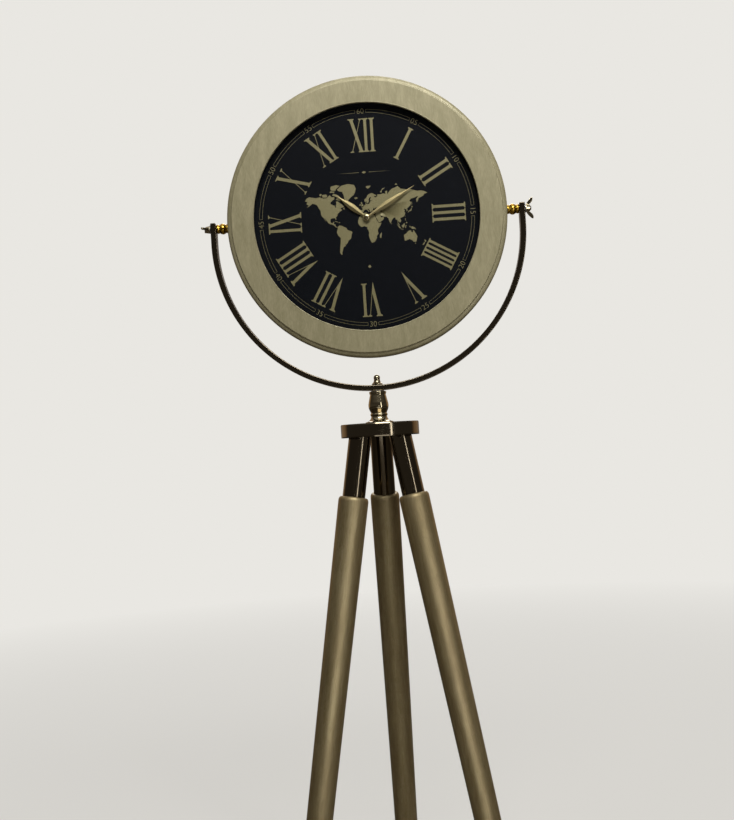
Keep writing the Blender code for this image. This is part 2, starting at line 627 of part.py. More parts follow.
def make_case_screws(bezel, body, panel):
    """Pan-head screws that hold the back panel and pull the bezel against the body ring."""
    end = JOINT_Z + CASE_SCREW_IN_BEZEL
    seat = BODY_BACK_Z
    head_back = seat - CASE_SCREW_HEAD_HEIGHT
    profile = [(0, end), (CASE_SCREW_RADIUS, end), (CASE_SCREW_RADIUS, seat), (CASE_SCREW_HEAD_RADIUS, seat),
               (CASE_SCREW_HEAD_RADIUS, head_back), (0, head_back)]
    holes = []
    for index in range(CASE_SCREW_COUNT):
        spot = on_circle(CASE_SCREW_CIRCLE, CASE_SCREW_COUNT, index, 30)
        turned("case_screw_" + str(index + 1), profile, "zinc_steel", "face", steps=SCREW_STEPS,
               location=spot, rotation=(0, 0, SCREW_TURN))
        holes.append(disc("case_screw_hole", CASE_SCREW_RADIUS + GAP, end + GAP, seat - OVERRUN, None,
                          "face", steps=SCREW_STEPS, location=spot, rotation=(0, 0, SCREW_TURN)))
    screw_holes = gang_cutter(holes, "case_screw_holes")
    for piece in (bezel, body, panel):
        boolean(piece, screw_holes)


def make_pivots():
    """Each side: an insert in the case, a stud, a turned brass spacer, a washer and a wing nut."""
    bore = STUD_RADIUS + GAP
    insert_inner = CASE_RADIUS - INSERT_LENGTH - GAP
    insert_outer = CASE_RADIUS - GAP
    washer_inner = YOKE_OUTER_RADIUS + GAP
    washer_outer = washer_inner + PIVOT_WASHER_THICKNESS
    hub_inner = washer_outer + GAP
    stud_end = hub_inner + WING_HUB_LENGTH + STUD_BEYOND_HUB
    low, high = CASE_RADIUS + GAP, YOKE_INNER_RADIUS - GAP
    bead_shares = [(1.00, 0.0), (0.86, 0.2), (0.76, 0.0), (0.70, 0.5), (0.60, 0.9), (0.50, 1.0), (0.40, 0.9),
                   (0.30, 0.5), (0.24, 0.0), (0.14, 0.2), (0.00, 0.0)]
    beads = [(SPACER_COLLAR_RADIUS + (SPACER_BEAD_RADIUS - SPACER_COLLAR_RADIUS) * swell,
              low + (high - low) * share) for share, swell in bead_shares]
    for side, quarter_turn in (("right", 0), ("left", 90)):
        pivot = "pivot_" + side
        ring("case_insert_" + side, INSERT_RADIUS, bore, insert_outer, insert_inner, "brass", pivot,
             steps=SMALL_STEPS, rotation=(0, 0, SMALL_TURN))
        disc("pivot_stud_" + side, STUD_RADIUS, stud_end, insert_inner + GAP, "zinc_steel", pivot,
             steps=SMALL_STEPS, rotation=(0, 0, SMALL_TURN))
        turned("pivot_spacer_" + side, beads + [(bore, low), (bore, high)], "brass", pivot,
               steps=PIVOT_STEPS, closed=True)
        ring("pivot_washer_" + side, PIVOT_WASHER_RADIUS, bore, washer_outer, washer_inner, "zinc_steel",
             pivot, steps=PIVOT_STEPS)
        make_wing_nut(side, hub_inner, bore, quarter_turn)


def make_wing_nut(side, base, bore, quarter_turn):
    """A cast wing nut: a tapered hub with two ears that spread outwards."""
    hub_top = base + WING_HUB_LENGTH
    narrow = (WING_HUB_RADIUS + bore) / 2
    half = WING_SPAN / 2
    ear_shares = [(0.10, 0.12), (0.38, 0.10), (0.62, 0.30), (0.88, 0.62), (1.00, 0.86), (0.97, 0.98),
                  (0.82, 1.00), (0.60, 0.88), (0.42, 0.64), (0.30, 0.46)]
    right = [(half * reach, base + WING_RISE * rise) for reach, rise in ear_shares]
    left = [(-x, y) for x, y in reversed(right)]
    wing = outline("wing_nut_" + side, right + left, WING_THICKNESS / 2, -WING_THICKNESS / 2, "zinc_steel",
                   "pivot_" + side, bevel=WING_EDGE)
    hub_profile = [(0, hub_top), (narrow, hub_top), (WING_HUB_RADIUS, base), (0, base)]
    hub = turned("wing_hub_" + side, hub_profile, None, "pivot_" + side, steps=PIVOT_STEPS)
    hole = disc("wing_bore_" + side, bore, base + WING_RISE + OVERRUN, base - OVERRUN, None, "pivot_" + side,
                steps=SMALL_STEPS)
    wing.data.transform(Matrix.Rotation(math.radians(90), 4, "X"))
    wing.data.transform(Matrix.Rotation(math.radians(quarter_turn), 4, "Z"))
    boolean(wing, as_cutter(hub), "UNION")
    boolean(wing, as_cutter(hole))


def make_movement_case():
    """The quartz movement's moulded case, open at the back, with its battery bay and threaded bush."""
    half = MOVEMENT_WIDTH / 2
    box = rounded_box(half, -MOVEMENT_BELOW_SHAFT, MOVEMENT_ABOVE_SHAFT, MOVEMENT_ROUNDING)
    case = outline("movement_case", box, MOVEMENT_FRONT_Z, MOVEMENT_BACK_Z, "black_plastic", "face")
    depth = CAVITY_FRONT_Z - MOVEMENT_BACK_Z + OVERRUN
    middle = (CAVITY_FRONT_Z + MOVEMENT_BACK_Z - OVERRUN) / 2
    gear_room = block("gear_room", (2 * CAVITY_HALF_WIDTH, CAVITY_TOP_Y - CAVITY_BOTTOM_Y, depth),
                      (0, (CAVITY_TOP_Y + CAVITY_BOTTOM_Y) / 2, middle), None, "face")
    bay_middle = BAY_TOP_Y - BAY_HEIGHT / 2
    bay = block("battery_bay", (2 * CAVITY_HALF_WIDTH, BAY_HEIGHT, depth), (0, bay_middle, middle), None,
                "face")
    seat_height = MOVEMENT_ABOVE_SHAFT - BAY_TOP_Y + OVERRUN
    seat_depth = COVER_THICKNESS + OVERRUN
    cover_seat = block("cover_seat", (MOVEMENT_WIDTH + OVERRUN, seat_height, seat_depth),
                       (0, BAY_TOP_Y + seat_height / 2, COVER_FRONT_Z - seat_depth / 2), None, "face")
    boolean(case, as_cutter(gear_room))
    boolean(case, as_cutter(bay))
    boolean(case, as_cutter(cover_seat))
    bush_end = DIAL_FRONT_Z + BUSH_BEYOND_DIAL
    bush = disc("mount_bush", BUSH_RADIUS, bush_end, CAVITY_FRONT_Z + MOVEMENT_WALL / 2, None, "face",
                steps=TURNED_STEPS)
    bore = disc("bush_bore", BUSH_BORE_RADIUS, bush_end + OVERRUN, CAVITY_FRONT_Z - OVERRUN, None, "face",
                steps=TURNED_STEPS)
    boolean(case, as_cutter(bush), "UNION")
    boolean(case, as_cutter(bore))
    cover_box = rounded_box(half, BAY_TOP_Y + GAP, MOVEMENT_ABOVE_SHAFT, MOVEMENT_ROUNDING / 2)
    cover = outline("movement_cover", cover_box, COVER_FRONT_Z - GAP, MOVEMENT_BACK_Z, "white_plastic",
                    "face")
    arbor_hole = disc("arbor_hole", REVERSE_ARBOR_RADIUS + RUNNING_CLEARANCE, CAVITY_FRONT_Z,
                      MOVEMENT_BACK_Z - OVERRUN, None, "face", steps=SMALL_STEPS, location=reverse_place())
    boolean(cover, as_cutter(arbor_hole))
    ring("mount_washer", MOUNT_WASHER_RADIUS, BUSH_RADIUS + GAP, DIAL_BACK_Z - GAP,
         DIAL_BACK_Z - GAP - MOUNT_WASHER_THICKNESS, "rubber", "face")
    outline("mount_nut", circle_points(MOUNT_NUT_RADIUS, 6), DIAL_FRONT_Z + GAP + MOUNT_NUT_HEIGHT,
            DIAL_FRONT_Z + GAP, "brass", "face", holes=[circle_points(BUSH_RADIUS + GAP, ROUND_STEPS)])
    return bay_middle


def make_battery(bay_middle):
    """An AA cell between two spring contacts in the open bay."""
    middle_z = CAVITY_FRONT_Z - BATTERY_RADIUS - GAP
    body_end = BATTERY_LENGTH / 2
    shoulder = body_end - BATTERY_CAP_LENGTH
    profile = [(0, body_end), (BATTERY_CAP_RADIUS, body_end), (BATTERY_CAP_RADIUS, shoulder),
               (BATTERY_RADIUS, shoulder), (BATTERY_RADIUS, -body_end), (0, -body_end)]
    turned("battery", profile, "battery_wrap", "face", location=(0, bay_middle, middle_z),
           rotation=(0, math.radians(90), 0))
    contact_x = CAVITY_HALF_WIDTH - GAP - CONTACT_THICKNESS / 2
    size = (CONTACT_THICKNESS, CONTACT_SIZE, CONTACT_SIZE)
    for name, x in (("battery_contact_plus", contact_x), ("battery_contact_minus", -contact_x)):
        block(name, size, (x, bay_middle, middle_z), "polished_nickel", "face")


def reverse_place():
    angle = math.radians(REVERSE_DIRECTION)
    return (REVERSE_DISTANCE * math.cos(angle), REVERSE_DISTANCE * math.sin(angle), 0)


def pitch_radii(wheel_teeth, pinion_teeth):
    """Pitch radii of a wheel and pinion that mesh at the reverse wheel's distance."""
    both = wheel_teeth + pinion_teeth
    return REVERSE_DISTANCE * wheel_teeth / both, REVERSE_DISTANCE * pinion_teeth / both


def make_motion_work():
    """Cannon pinion, reverse wheel and hour wheel, in mesh, and the setting knob."""
    reverse_radius, cannon_radius = pitch_radii(REVERSE_TEETH, CANNON_TEETH)
    hour_radius, pinion_radius = pitch_radii(HOUR_TEETH, REVERSE_PINION_TEETH)
    facing = REVERSE_DIRECTION + 180
    half_reverse_pitch = 180 / REVERSE_TEETH
    half_pinion_pitch = 180 / REVERSE_PINION_TEETH
    hour_back = HOUR_WHEEL_Z - WHEEL_THICKNESS
    cannon_back = CANNON_Z - PINION_THICKNESS
    arbor_tip = MINUTE_HAND_Z + HAND_THICKNESS + HAND_CAP_HEIGHT / 2

    hour_points = gear_points(HOUR_TEETH, hour_radius, REVERSE_DIRECTION)
    hour = outline("hour_wheel", hour_points, HOUR_WHEEL_Z, hour_back, "brass", "face")
    pipe = disc("hour_pipe", HOUR_PIPE_RADIUS, HOUR_HAND_Z + HAND_THICKNESS, (HOUR_WHEEL_Z + hour_back) / 2,
                None, "face", steps=TURNED_STEPS)
    pipe_bore = disc("hour_pipe_bore", MINUTE_ARBOR_RADIUS + RUNNING_CLEARANCE, HOUR_HAND_Z + OVERRUN,
                     hour_back - OVERRUN, None, "face", steps=TURNED_STEPS)
    boolean(hour, as_cutter(pipe), "UNION")
    boolean(hour, as_cutter(pipe_bore))

    cannon_points = gear_points(CANNON_TEETH, cannon_radius, REVERSE_DIRECTION)
    cannon = outline("minute_arbor", cannon_points, CANNON_Z, cannon_back, "brass", "face")
    arbor = disc("arbor_rod", MINUTE_ARBOR_RADIUS, arbor_tip, COVER_FRONT_Z + WHEEL_SPACING, None, "face",
                 steps=SMALL_STEPS)
    boolean(cannon, as_cutter(arbor), "UNION")

    spot = reverse_place()
    reverse_points = gear_points(REVERSE_TEETH, reverse_radius, facing + half_reverse_pitch)
    reverse = outline("reverse_wheel", reverse_points, CANNON_Z, CANNON_Z - WHEEL_THICKNESS, "brass", "face",
                      location=spot)
    leaf_points = gear_points(REVERSE_PINION_TEETH, pinion_radius, facing + half_pinion_pitch)
    leaves = outline("reverse_leaves", leaf_points, HOUR_WHEEL_Z, CANNON_Z - WHEEL_THICKNESS / 2, None,
                     "face", location=spot)
    staff_end = MOVEMENT_BACK_Z - KNOB_HEIGHT / 2
    staff = disc("reverse_staff", REVERSE_ARBOR_RADIUS, CAVITY_FRONT_Z - GAP, staff_end, None, "face",
                 steps=SMALL_STEPS, location=spot)
    boolean(reverse, as_cutter(leaves), "UNION")
    boolean(reverse, as_cutter(staff), "UNION")

    knob_front = MOVEMENT_BACK_Z - GAP
    knob_points = []
    for index in range(2 * KNOB_GRIPS):
        radius = KNOB_RADIUS - (KNOB_GRIP_DEPTH if index % 2 else 0)
        angle = math.pi * index / KNOB_GRIPS
        knob_points.append((radius * math.cos(angle), radius * math.sin(angle)))
    knob = outline("set_knob", knob_points, knob_front, knob_front - KNOB_HEIGHT, "white_plastic", "face",
                   location=spot)
    seat = disc("knob_seat", REVERSE_ARBOR_RADIUS + GAP, knob_front + OVERRUN, staff_end - GAP, None, "face",
                steps=SMALL_STEPS, location=spot)
    boolean(knob, as_cutter(seat))


def make_drive():
    """Coil, stator and circuit board, in the room that the wheels leave free."""
    coil_z = CAVITY_FRONT_Z - BOBBIN_FLANGE_RADIUS - GAP
    half = COIL_LENGTH / 2
    flange = half - BOBBIN_FLANGE_THICKNESS
    upper = [(0, half), (BOBBIN_FLANGE_RADIUS, half), (BOBBIN_FLANGE_RADIUS, flange), (COIL_RADIUS, flange)]
    lower = [(radius, -height) for radius, height in reversed(upper)]
    coil_y = CAVITY_BOTTOM_Y + GAP + half + STATOR_WIDTH / 4
    turned("drive_coil", upper + lower, "copper", "face", steps=PIVOT_STEPS,
           location=(COIL_OFFSET, coil_y, coil_z), rotation=(math.radians(90), 0, 0))
    stator_top_z = coil_z - BOBBIN_FLANGE_RADIUS - GAP
    stator_y = CAVITY_BOTTOM_Y + GAP + STATOR_WIDTH / 2
    stator_right = CAVITY_HALF_WIDTH - GAP
    stator = block("stator_plate", (STATOR_LENGTH, STATOR_WIDTH, STATOR_THICKNESS),
                   (stator_right - STATOR_LENGTH / 2, stator_y, stator_top_z - STATOR_THICKNESS / 2),
                   "zinc_steel", "face")
    rotor_x = stator_right - STATOR_LENGTH + STATOR_WIDTH / 2
    rotor_hole = disc("rotor_hole", ROTOR_HOLE_RADIUS, stator_top_z + OVERRUN,
                      stator_top_z - STATOR_THICKNESS - OVERRUN, None, "face", steps=SMALL_STEPS,
                      location=(rotor_x, stator_y, 0))
    boolean(stator, as_cutter(rotor_hole))
    board_x = CAVITY_HALF_WIDTH - GAP - BOARD_WIDTH / 2
    board_y = CAVITY_TOP_Y - GAP - BOARD_HEIGHT / 2
    board_back = COVER_FRONT_Z
    block("circuit_board", (BOARD_WIDTH, BOARD_HEIGHT, BOARD_THICKNESS),
          (board_x, board_y, board_back + BOARD_THICKNESS / 2), "board", "face")
    crystal_z = board_back + BOARD_THICKNESS + GAP + CRYSTAL_RADIUS
    half_crystal = CRYSTAL_LENGTH / 2
    disc("quartz_crystal", CRYSTAL_RADIUS, half_crystal, -half_crystal, "polished_nickel", "face",
         steps=SMALL_STEPS, location=(board_x - BOARD_WIDTH / 4, board_y, crystal_z),
         rotation=(math.radians(90), 0, 0))


def hand_points(length):
    """A lance: a round boss, a narrow root, its widest point two fifths along, and a needle tip."""
    half_width_shares = [(0.12, 0.16), (0.24, 0.34), (0.40, 0.50), (0.60, 0.36), (0.80, 0.16), (0.92, 0.07)]
    right = [(HAND_WIDTH * width, length * along) for along, width in half_width_shares]
    root = math.degrees(math.asin(right[0][0] / HAND_TAIL_RADIUS))
    boss = quarter(0, 0, HAND_TAIL_RADIUS, 90 + root, 450 - root, 14)
    left = [(-x, y) for x, y in reversed(right)]
    return boss + right + [(0, length)] + left


def make_hands():
    """Two stamped lances on friction bushes. The hour hand sits a little ahead of its true place."""
    minute_angle = -SHOWN_MINUTE * 6
    hour_angle = -(SHOWN_HOUR + SHOWN_MINUTE / 60) * 30 - HOUR_HAND_SLIP
    sizes = (("hour", HOUR_HAND_LENGTH, HOUR_HAND_Z, hour_angle, HOUR_PIPE_RADIUS),
             ("minute", MINUTE_HAND_LENGTH, MINUTE_HAND_Z, minute_angle, MINUTE_ARBOR_RADIUS))
    for name, length, back, angle, shaft in sizes:
        hand = outline(name + "_hand", hand_points(length), back + HAND_THICKNESS, back, "old_gold", "face",
                       rotation=(0, 0, math.radians(angle)))
        hole = disc(name + "_hand_hole", shaft + RUNNING_CLEARANCE, back + OVERRUN, back - OVERRUN, None,
                    "face", steps=TURNED_STEPS)
        boolean(hand, as_cutter(hole))
    base = MINUTE_HAND_Z + HAND_THICKNESS + GAP
    shaft = MINUTE_ARBOR_RADIUS + RUNNING_CLEARANCE
    socket_top = MINUTE_HAND_Z + HAND_THICKNESS + HAND_CAP_HEIGHT / 2 + GAP
    rim_share = 0.35
    dome_height = HAND_CAP_HEIGHT * (1 - rim_share)
    dome = [(HAND_CAP_RADIUS * math.sin(a), base + HAND_CAP_HEIGHT * rim_share + dome_height * math.cos(a))
            for a in [math.radians(step) for step in (0, 30, 60, 90)]]
    turned("hand_cap", dome + [(HAND_CAP_RADIUS, base), (shaft, base), (shaft, socket_top), (0, socket_top)],
           "brass", "face", steps=TURNED_STEPS)


def shade_round():
    """Shade the meshes smooth, with sharp edges where faces meet at a real corner."""
    for piece in parts.objects:
        if piece.type == "MESH":
            piece.data.shade_smooth()
            piece.data.set_sharp_from_angle(angle=math.radians(40))


clear_scene()
make_collections()
make_frames()
make_legs()
make_plate()
make_stem()
make_yoke()
make_case()
make_pivots()
make_battery(make_movement_case())
make_motion_work()
make_drive()
make_hands()
shade_round()
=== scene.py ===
# %% [markdown]
# # A tripod floor clock, made in Blender
#
# A round clock hangs in a steel yoke on a three-legged stand. The solids of the clock were packed
# before as a frame of named nodes on moving bodies. This lesson dresses that frame: each visible
# piece is modelled again with the detail of the real one, gets a material that starts from what it
# is made of, and rides on its body.
#
# The clock stands on the floor, +Z is up and the dial looks towards -Y. The frame and the studio
# are in metres. The pieces are drawn in millimetres, and the helpers that draw them turn these into
# metres.

import json
import math

import bpy
from mathutils import Matrix, Vector

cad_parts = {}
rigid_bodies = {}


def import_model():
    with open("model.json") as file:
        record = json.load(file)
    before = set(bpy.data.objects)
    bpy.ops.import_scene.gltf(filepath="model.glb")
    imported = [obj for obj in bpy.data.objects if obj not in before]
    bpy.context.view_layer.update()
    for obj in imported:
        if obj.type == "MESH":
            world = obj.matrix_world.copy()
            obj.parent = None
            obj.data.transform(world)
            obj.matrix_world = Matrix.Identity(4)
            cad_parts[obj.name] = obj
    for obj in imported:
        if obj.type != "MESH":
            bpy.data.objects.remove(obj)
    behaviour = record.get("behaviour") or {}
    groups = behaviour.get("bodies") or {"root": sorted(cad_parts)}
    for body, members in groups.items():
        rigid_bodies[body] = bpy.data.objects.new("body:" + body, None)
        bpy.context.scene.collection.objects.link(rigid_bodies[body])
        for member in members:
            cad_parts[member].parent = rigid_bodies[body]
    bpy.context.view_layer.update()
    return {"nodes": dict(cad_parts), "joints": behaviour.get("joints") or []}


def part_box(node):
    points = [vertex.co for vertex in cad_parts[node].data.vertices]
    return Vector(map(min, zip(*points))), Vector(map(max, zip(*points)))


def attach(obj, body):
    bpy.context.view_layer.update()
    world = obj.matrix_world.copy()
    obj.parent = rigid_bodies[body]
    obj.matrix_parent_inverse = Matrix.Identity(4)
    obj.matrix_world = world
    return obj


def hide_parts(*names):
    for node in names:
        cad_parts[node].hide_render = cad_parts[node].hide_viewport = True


for leftover in list(bpy.data.objects):
    bpy.data.objects.remove(leftover)

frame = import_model()

# %% [markdown]
# ## The places that the pieces are modelled in
#
# A turned piece is easiest to draw round the Z axis, and a dial lying flat on the floor. So each
# piece is made at the origin and is put in its place at the end. The places come from the frame:
# the tilt joint gives the hub, the minute joint gives the direction that the dial looks in, and the
# plate gives the height of the legs.

# %% The places
MM = 0.001
GAP = 0.3
LEG_SPLAY = 10.7
LEG_CIRCLE = 41
LEG_HEADINGS = {"right": -30, "left": 210, "rear": 90}
SIDES = {"right": 90, "left": -90}

joints = {joint["name"]: joint for joint in frame["joints"]}
hub = Vector(joints["clock_tilt"]["pos_m"])
towards = -Vector(joints["minute_turn"]["axis"])
rightwards = Vector((1, 0, 0))
upwards = towards.cross(rightwards)

FACE = Matrix.Translation(hub) @ Matrix((rightwards, upwards, towards)).transposed().to_4x4()
STAND = Matrix.Translation((0, hub.y, 0))


def rotated(degrees, axis="Z"):
    return Matrix.Rotation(math.radians(degrees), 4, axis)


def moved(x, y, z):
    """A move in mm."""
    return Matrix.Translation((x * MM, y * MM, z * MM))


def heights(node):
    """The lowest and the highest level of a CAD node in mm."""
    return [corner.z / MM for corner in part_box(node)]


plate_bottom, plate_top = heights("head_plate")


def hip(heading):
    """Where a leg's axis meets the underside of the plate, with local Z up along the leg."""
    return STAND @ rotated(heading) @ moved(LEG_CIRCLE, 0, plate_bottom) @ rotated(-LEG_SPLAY, "Y")


def pivot(side):
    """A tilt pivot, with local Z outwards."""
    return Matrix.Translation(hub) @ rotated(SIDES[side], "Y")


print("hub at", [round(value, 4) for value in hub], "plate top at", round(plate_top, 1), "mm")

# %% [markdown]
# ## The camera
#
# The photograph was taken from hip height, about 1.8 metres away, with the camera held a little
# crooked: the whole clock turns anticlockwise in the picture. The numbers come from fitting a
# camera to measured points.

# %% Set up the camera
CAMERA_PLACE = (0.042, -1.861, 0.952)
CAMERA_YAW, CAMERA_PITCH, CAMERA_ROLL = 2.0, 1.66, -3.5
CAMERA_LENS, SENSOR_WIDTH = 49.44, 36

camera_data = bpy.data.cameras.new("camera")
camera_data.lens = CAMERA_LENS
camera_data.sensor_width = SENSOR_WIDTH
camera_data.sensor_fit = "HORIZONTAL"
camera = bpy.data.objects.new("camera", camera_data)
bpy.context.scene.collection.objects.link(camera)
camera.matrix_world = (Matrix.Translation(CAMERA_PLACE) @ rotated(CAMERA_YAW)
                       @ rotated(90 + CAMERA_PITCH, "X") @ rotated(CAMERA_ROLL))
bpy.context.scene.camera = camera
bpy.context.scene.view_settings.view_transform = "Standard"
print("camera", round((Vector(CAMERA_PLACE) - hub).length, 2), "m from the hub")

# %% [markdown]
# ## The studio
#
# A plain pale floor, a pale sky and soft lamps. A wide softbox high in front does most of the work,
# as the window behind the photographer did, so that upper edges are light and undersides fall dark.
# A tall narrow strip to the right draws the thin bright lines down the metal tubes, and a softbox
# overhead the lines along upper edges.

# %% Helpers for colours and nodes


def colour(code):
    """The linear RGBA of an sRGB hex colour."""
    values = [int(code[start:start + 2], 16) / 255 for start in (1, 3, 5)]
    return [v / 12.92 if v <= 0.04045 else ((v + 0.055) / 1.055) ** 2.4 for v in values] + [1.0]


def plug(tree, node, inputs):
    """Set inputs: each takes a value, another node's output, or a node for its first output."""
    for name, value in inputs.items():
        if isinstance(value, bpy.types.Node):
            value = value.outputs[0]
        if isinstance(value, bpy.types.NodeSocket):
            tree.links.new(value, node.inputs[name])
        else:
            node.inputs[name].default_value = value


def add_node(tree, kind, inputs=None, **settings):
    """A node with its settings and inputs."""
    made = tree.nodes.new(kind)
    for name, value in settings.items():
        setattr(made, name, value)
    plug(tree, made, inputs or {})
    return made


def object_place(tree):
    """The object's own coordinates, for a material."""
    return add_node(tree, "ShaderNodeTexCoord").outputs["Object"]


def ramp(tree, factor, *stops):
    """A colour ramp from (place, hex colour) stops."""
    made = add_node(tree, "ShaderNodeValToRGB", {"Fac": factor})
    band = made.color_ramp
    while len(band.elements) < len(stops):
        band.elements.new(0.5)
    for element, (spot, code) in zip(band.elements, stops):
        element.position = spot
        element.color = colour(code)
    return made


def new_material(name, **sockets):
    """A material with one Principled shader and its constant values."""
    made = bpy.data.materials.new(name)
    made.use_nodes = True
    shader = made.node_tree.nodes["Principled BSDF"]
    values = {socket.replace("_", " "): value for socket, value in sockets.items()}
    plug(made.node_tree, shader, values)
    return made, made.node_tree, shader


# %% [markdown]
# The floor is one large disc. Lamps light only its middle, and its far part would go dark, so what
# the camera sees of it blends into the sky's own colour with distance. A pale floor would also
# throw a lot of light up at the clock. The photographed room has a dark floor, so all rays but the
# camera's find a dull brown one.

# %% Floor
FLOOR_COLOUR, FLOOR_BOUNCE, SKY_COLOUR = "#E4E1DA", "#6A6154", "#E9E7E2"
FLOOR_RADIUS = 12
HAZE_START, HAZE_END, NEAR_SHARE = 0.8, 4.5, 0.55

bpy.ops.object.select_all(action="DESELECT")
bpy.ops.mesh.primitive_circle_add(vertices=96, radius=FLOOR_RADIUS, fill_type="NGON",
                                  location=(0, 0, 0))
floor = bpy.context.object
floor.name = "studio_floor"
floor_paint, floor_tree, floor_shader = new_material("matt_floor_paint", Roughness=0.75)
to_camera = add_node(floor_tree, "ShaderNodeLightPath").outputs["Is Camera Ray"]
floor_tint = add_node(floor_tree, "ShaderNodeMix",
                      {0: to_camera, 6: colour(FLOOR_BOUNCE), 7: colour(FLOOR_COLOUR)},
                      data_type="RGBA")
plug(floor_tree, floor_shader, {"Base Color": floor_tint.outputs[2]})
distance = add_node(floor_tree, "ShaderNodeVectorMath", {0: object_place(floor_tree)},
                    operation="LENGTH")
share = add_node(floor_tree, "ShaderNodeMapRange",
                 {"Value": distance.outputs["Value"], "From Min": HAZE_START, "From Max": HAZE_END,
                  "To Min": NEAR_SHARE, "To Max": 1.0})
blend = add_node(floor_tree, "ShaderNodeMath", {0: share, 1: to_camera}, operation="MULTIPLY")
haze = add_node(floor_tree, "ShaderNodeEmission", {"Color": colour(SKY_COLOUR)})
floor_mix = add_node(floor_tree, "ShaderNodeMixShader", {0: blend, 1: floor_shader, 2: haze})
plug(floor_tree, floor_tree.nodes["Material Output"], {"Surface": floor_mix})
floor.data.materials.append(floor_paint)
print("floor", round(floor.dimensions.x), "m across")

# %% [markdown]
# Polished metal is little more than a picture of the room round it. In a room that is pale on all
# sides it would look like paper, so the sky has three parts: pale where the camera sees it, a soft
# light from above for dull surfaces, and for reflections a dim room with a light ceiling, brown
# sides and a grey wall behind the clock.

# %% Sky
SKY_LIGHT = 0.17

world = bpy.data.worlds.new("pale_sky")
world.use_nodes = True
bpy.context.scene.world = world
sky = world.node_tree
sky.nodes.clear()
rays = add_node(sky, "ShaderNodeLightPath").outputs
seen = add_node(sky, "ShaderNodeMath", {0: rays["Is Camera Ray"], 1: rays["Is Transmission Ray"]},
                operation="MAXIMUM")
direction = add_node(sky, "ShaderNodeTexCoord").outputs["Generated"]
axes = add_node(sky, "ShaderNodeSeparateXYZ", {0: direction}).outputs
ceiling = ramp(sky, axes["Z"],
               (0.0, "#57534D"), (0.35, "#4A4641"), (0.65, "#8E8B86"), (0.9, "#D8D6D2"))
walls = ramp(sky, axes["Y"],
             (0.30, "#000000"), (0.55, "#C4A47E"), (0.80, "#C4A47E"), (0.95, "#8A827A"))
from_above = ramp(sky, axes["Z"], (0.0, "#3A3733"), (0.5, "#A09C95"), (1.0, "#F2F0EB"))
room = add_node(sky, "ShaderNodeMix", {0: 1.0, 6: ceiling, 7: walls}, data_type="RGBA",
                blend_type="LIGHTEN")
lit = add_node(sky, "ShaderNodeBackground", {"Color": from_above, "Strength": SKY_LIGHT})
shown = add_node(sky, "ShaderNodeBackground", {"Color": colour(SKY_COLOUR), "Strength": 1.0})
reflected = add_node(sky, "ShaderNodeBackground", {"Color": room.outputs[2], "Strength": 1.0})
plain = add_node(sky, "ShaderNodeMixShader", {0: seen, 1: lit, 2: shown})
whole_sky = add_node(sky, "ShaderNodeMixShader", {0: rays["Is Glossy Ray"], 1: plain, 2: reflected})
add_node(sky, "ShaderNodeOutputWorld", {"Surface": whole_sky})
print("sky ready")

# %% [markdown]
# A large softbox high in front gives most of the light. An upright strip at the right draws the
# lines on the round metal, a second one with a narrow spread models the legs, and a low bar finds
# the plate's lower edge. A single broad lamp would leave all of them flat. Weaker ones light the
# top and the back.

# %% Lamps
LAMPS = {
    "softbox_front": dict(place=(0.45, -2.1, 3.1), aim=(0, 0, 1.15), size=(1.9, 0.8), watts=72),
    "strip_right": dict(place=(1.22, -1.85, 1.1), aim=(0, 0, 0.95), size=(0.13, 1.7), watts=6.5),
    "strip_legs": dict(place=(0.35, -2.1, 0.4), aim=(0, -0.1, 0.4), size=(0.3, 0.8), watts=0.18,
                       spread=16),
    "bar_low": dict(place=(0.25, -2.1, 0.25), aim=(0, 0, 0.93), size=(1.6, 0.16), watts=2),
    "softbox_top": dict(place=(0.2, 0.05, 2.75), aim=(0.2, 0.05, 1), size=(0.85, 0.5), watts=3),
    "softbox_back": dict(place=(0.1, 2.2, 2.6), aim=(0, 0, 0.9), size=(1.5, 1.5), watts=24),
}
for name, lamp in LAMPS.items():
    data = bpy.data.lights.new(name, "AREA")
    data.shape = "RECTANGLE"
    data.size, data.size_y = lamp["size"]
    data.energy = lamp["watts"]
    data.spread = math.radians(lamp.get("spread", 180))
    lamp_object = bpy.data.objects.new(name, data)
    bpy.context.scene.collection.objects.link(lamp_object)
    lamp_object.location = lamp["place"]
    beam = Vector(lamp["aim"]) - Vector(lamp["place"])
    lamp_object.rotation_euler = beam.to_track_quat("-Z", "Y").to_euler()
print("lamps:", ", ".join(LAMPS))

# %% [markdown]
# ## Materials
#
# Wood first. The case is turned from board with a veneer whose open grain still shows under a
# champagne-gold lacquer with a little metal powder in it. The lacquer could be one flat colour, but
# the eye finds the grain at once, so two stretched noises give it: broad figure about 9 mm wide,
# and pores well under a millimetre wide, which are drawn at 1.3 mm so that they still show in a
# picture of the whole clock. A third, slow noise makes the grain wander. The legs have a browner
# lacquer over a closer wood, with more metal powder in it. Their grain must follow each leaning
# leg, so it reads an attribute with the leg's own coordinates.

# %% Lacquer over open-grained wood
DARKEST, LIGHTEST = 0.36, 0.64


def noise(tree, place, size, detail):
    """Noise with patches of about that size in mm."""
    return add_node(tree, "ShaderNodeTexNoise",
                    {"Vector": place, "Scale": 1 / (size * MM), "Detail": detail})


def grain_noise(tree, place, across, along, detail):
    """Noise stretched along local Z: its size across and along the grain in mm."""
    scale = Vector((1 / across, 1 / across, 1 / along)) / MM
    stretch = add_node(tree, "ShaderNodeMapping", {"Vector": place, "Scale": scale})
    return add_node(tree, "ShaderNodeTexNoise",
                    {"Vector": stretch, "Scale": 1.0, "Detail": detail, "Roughness": 0.6})


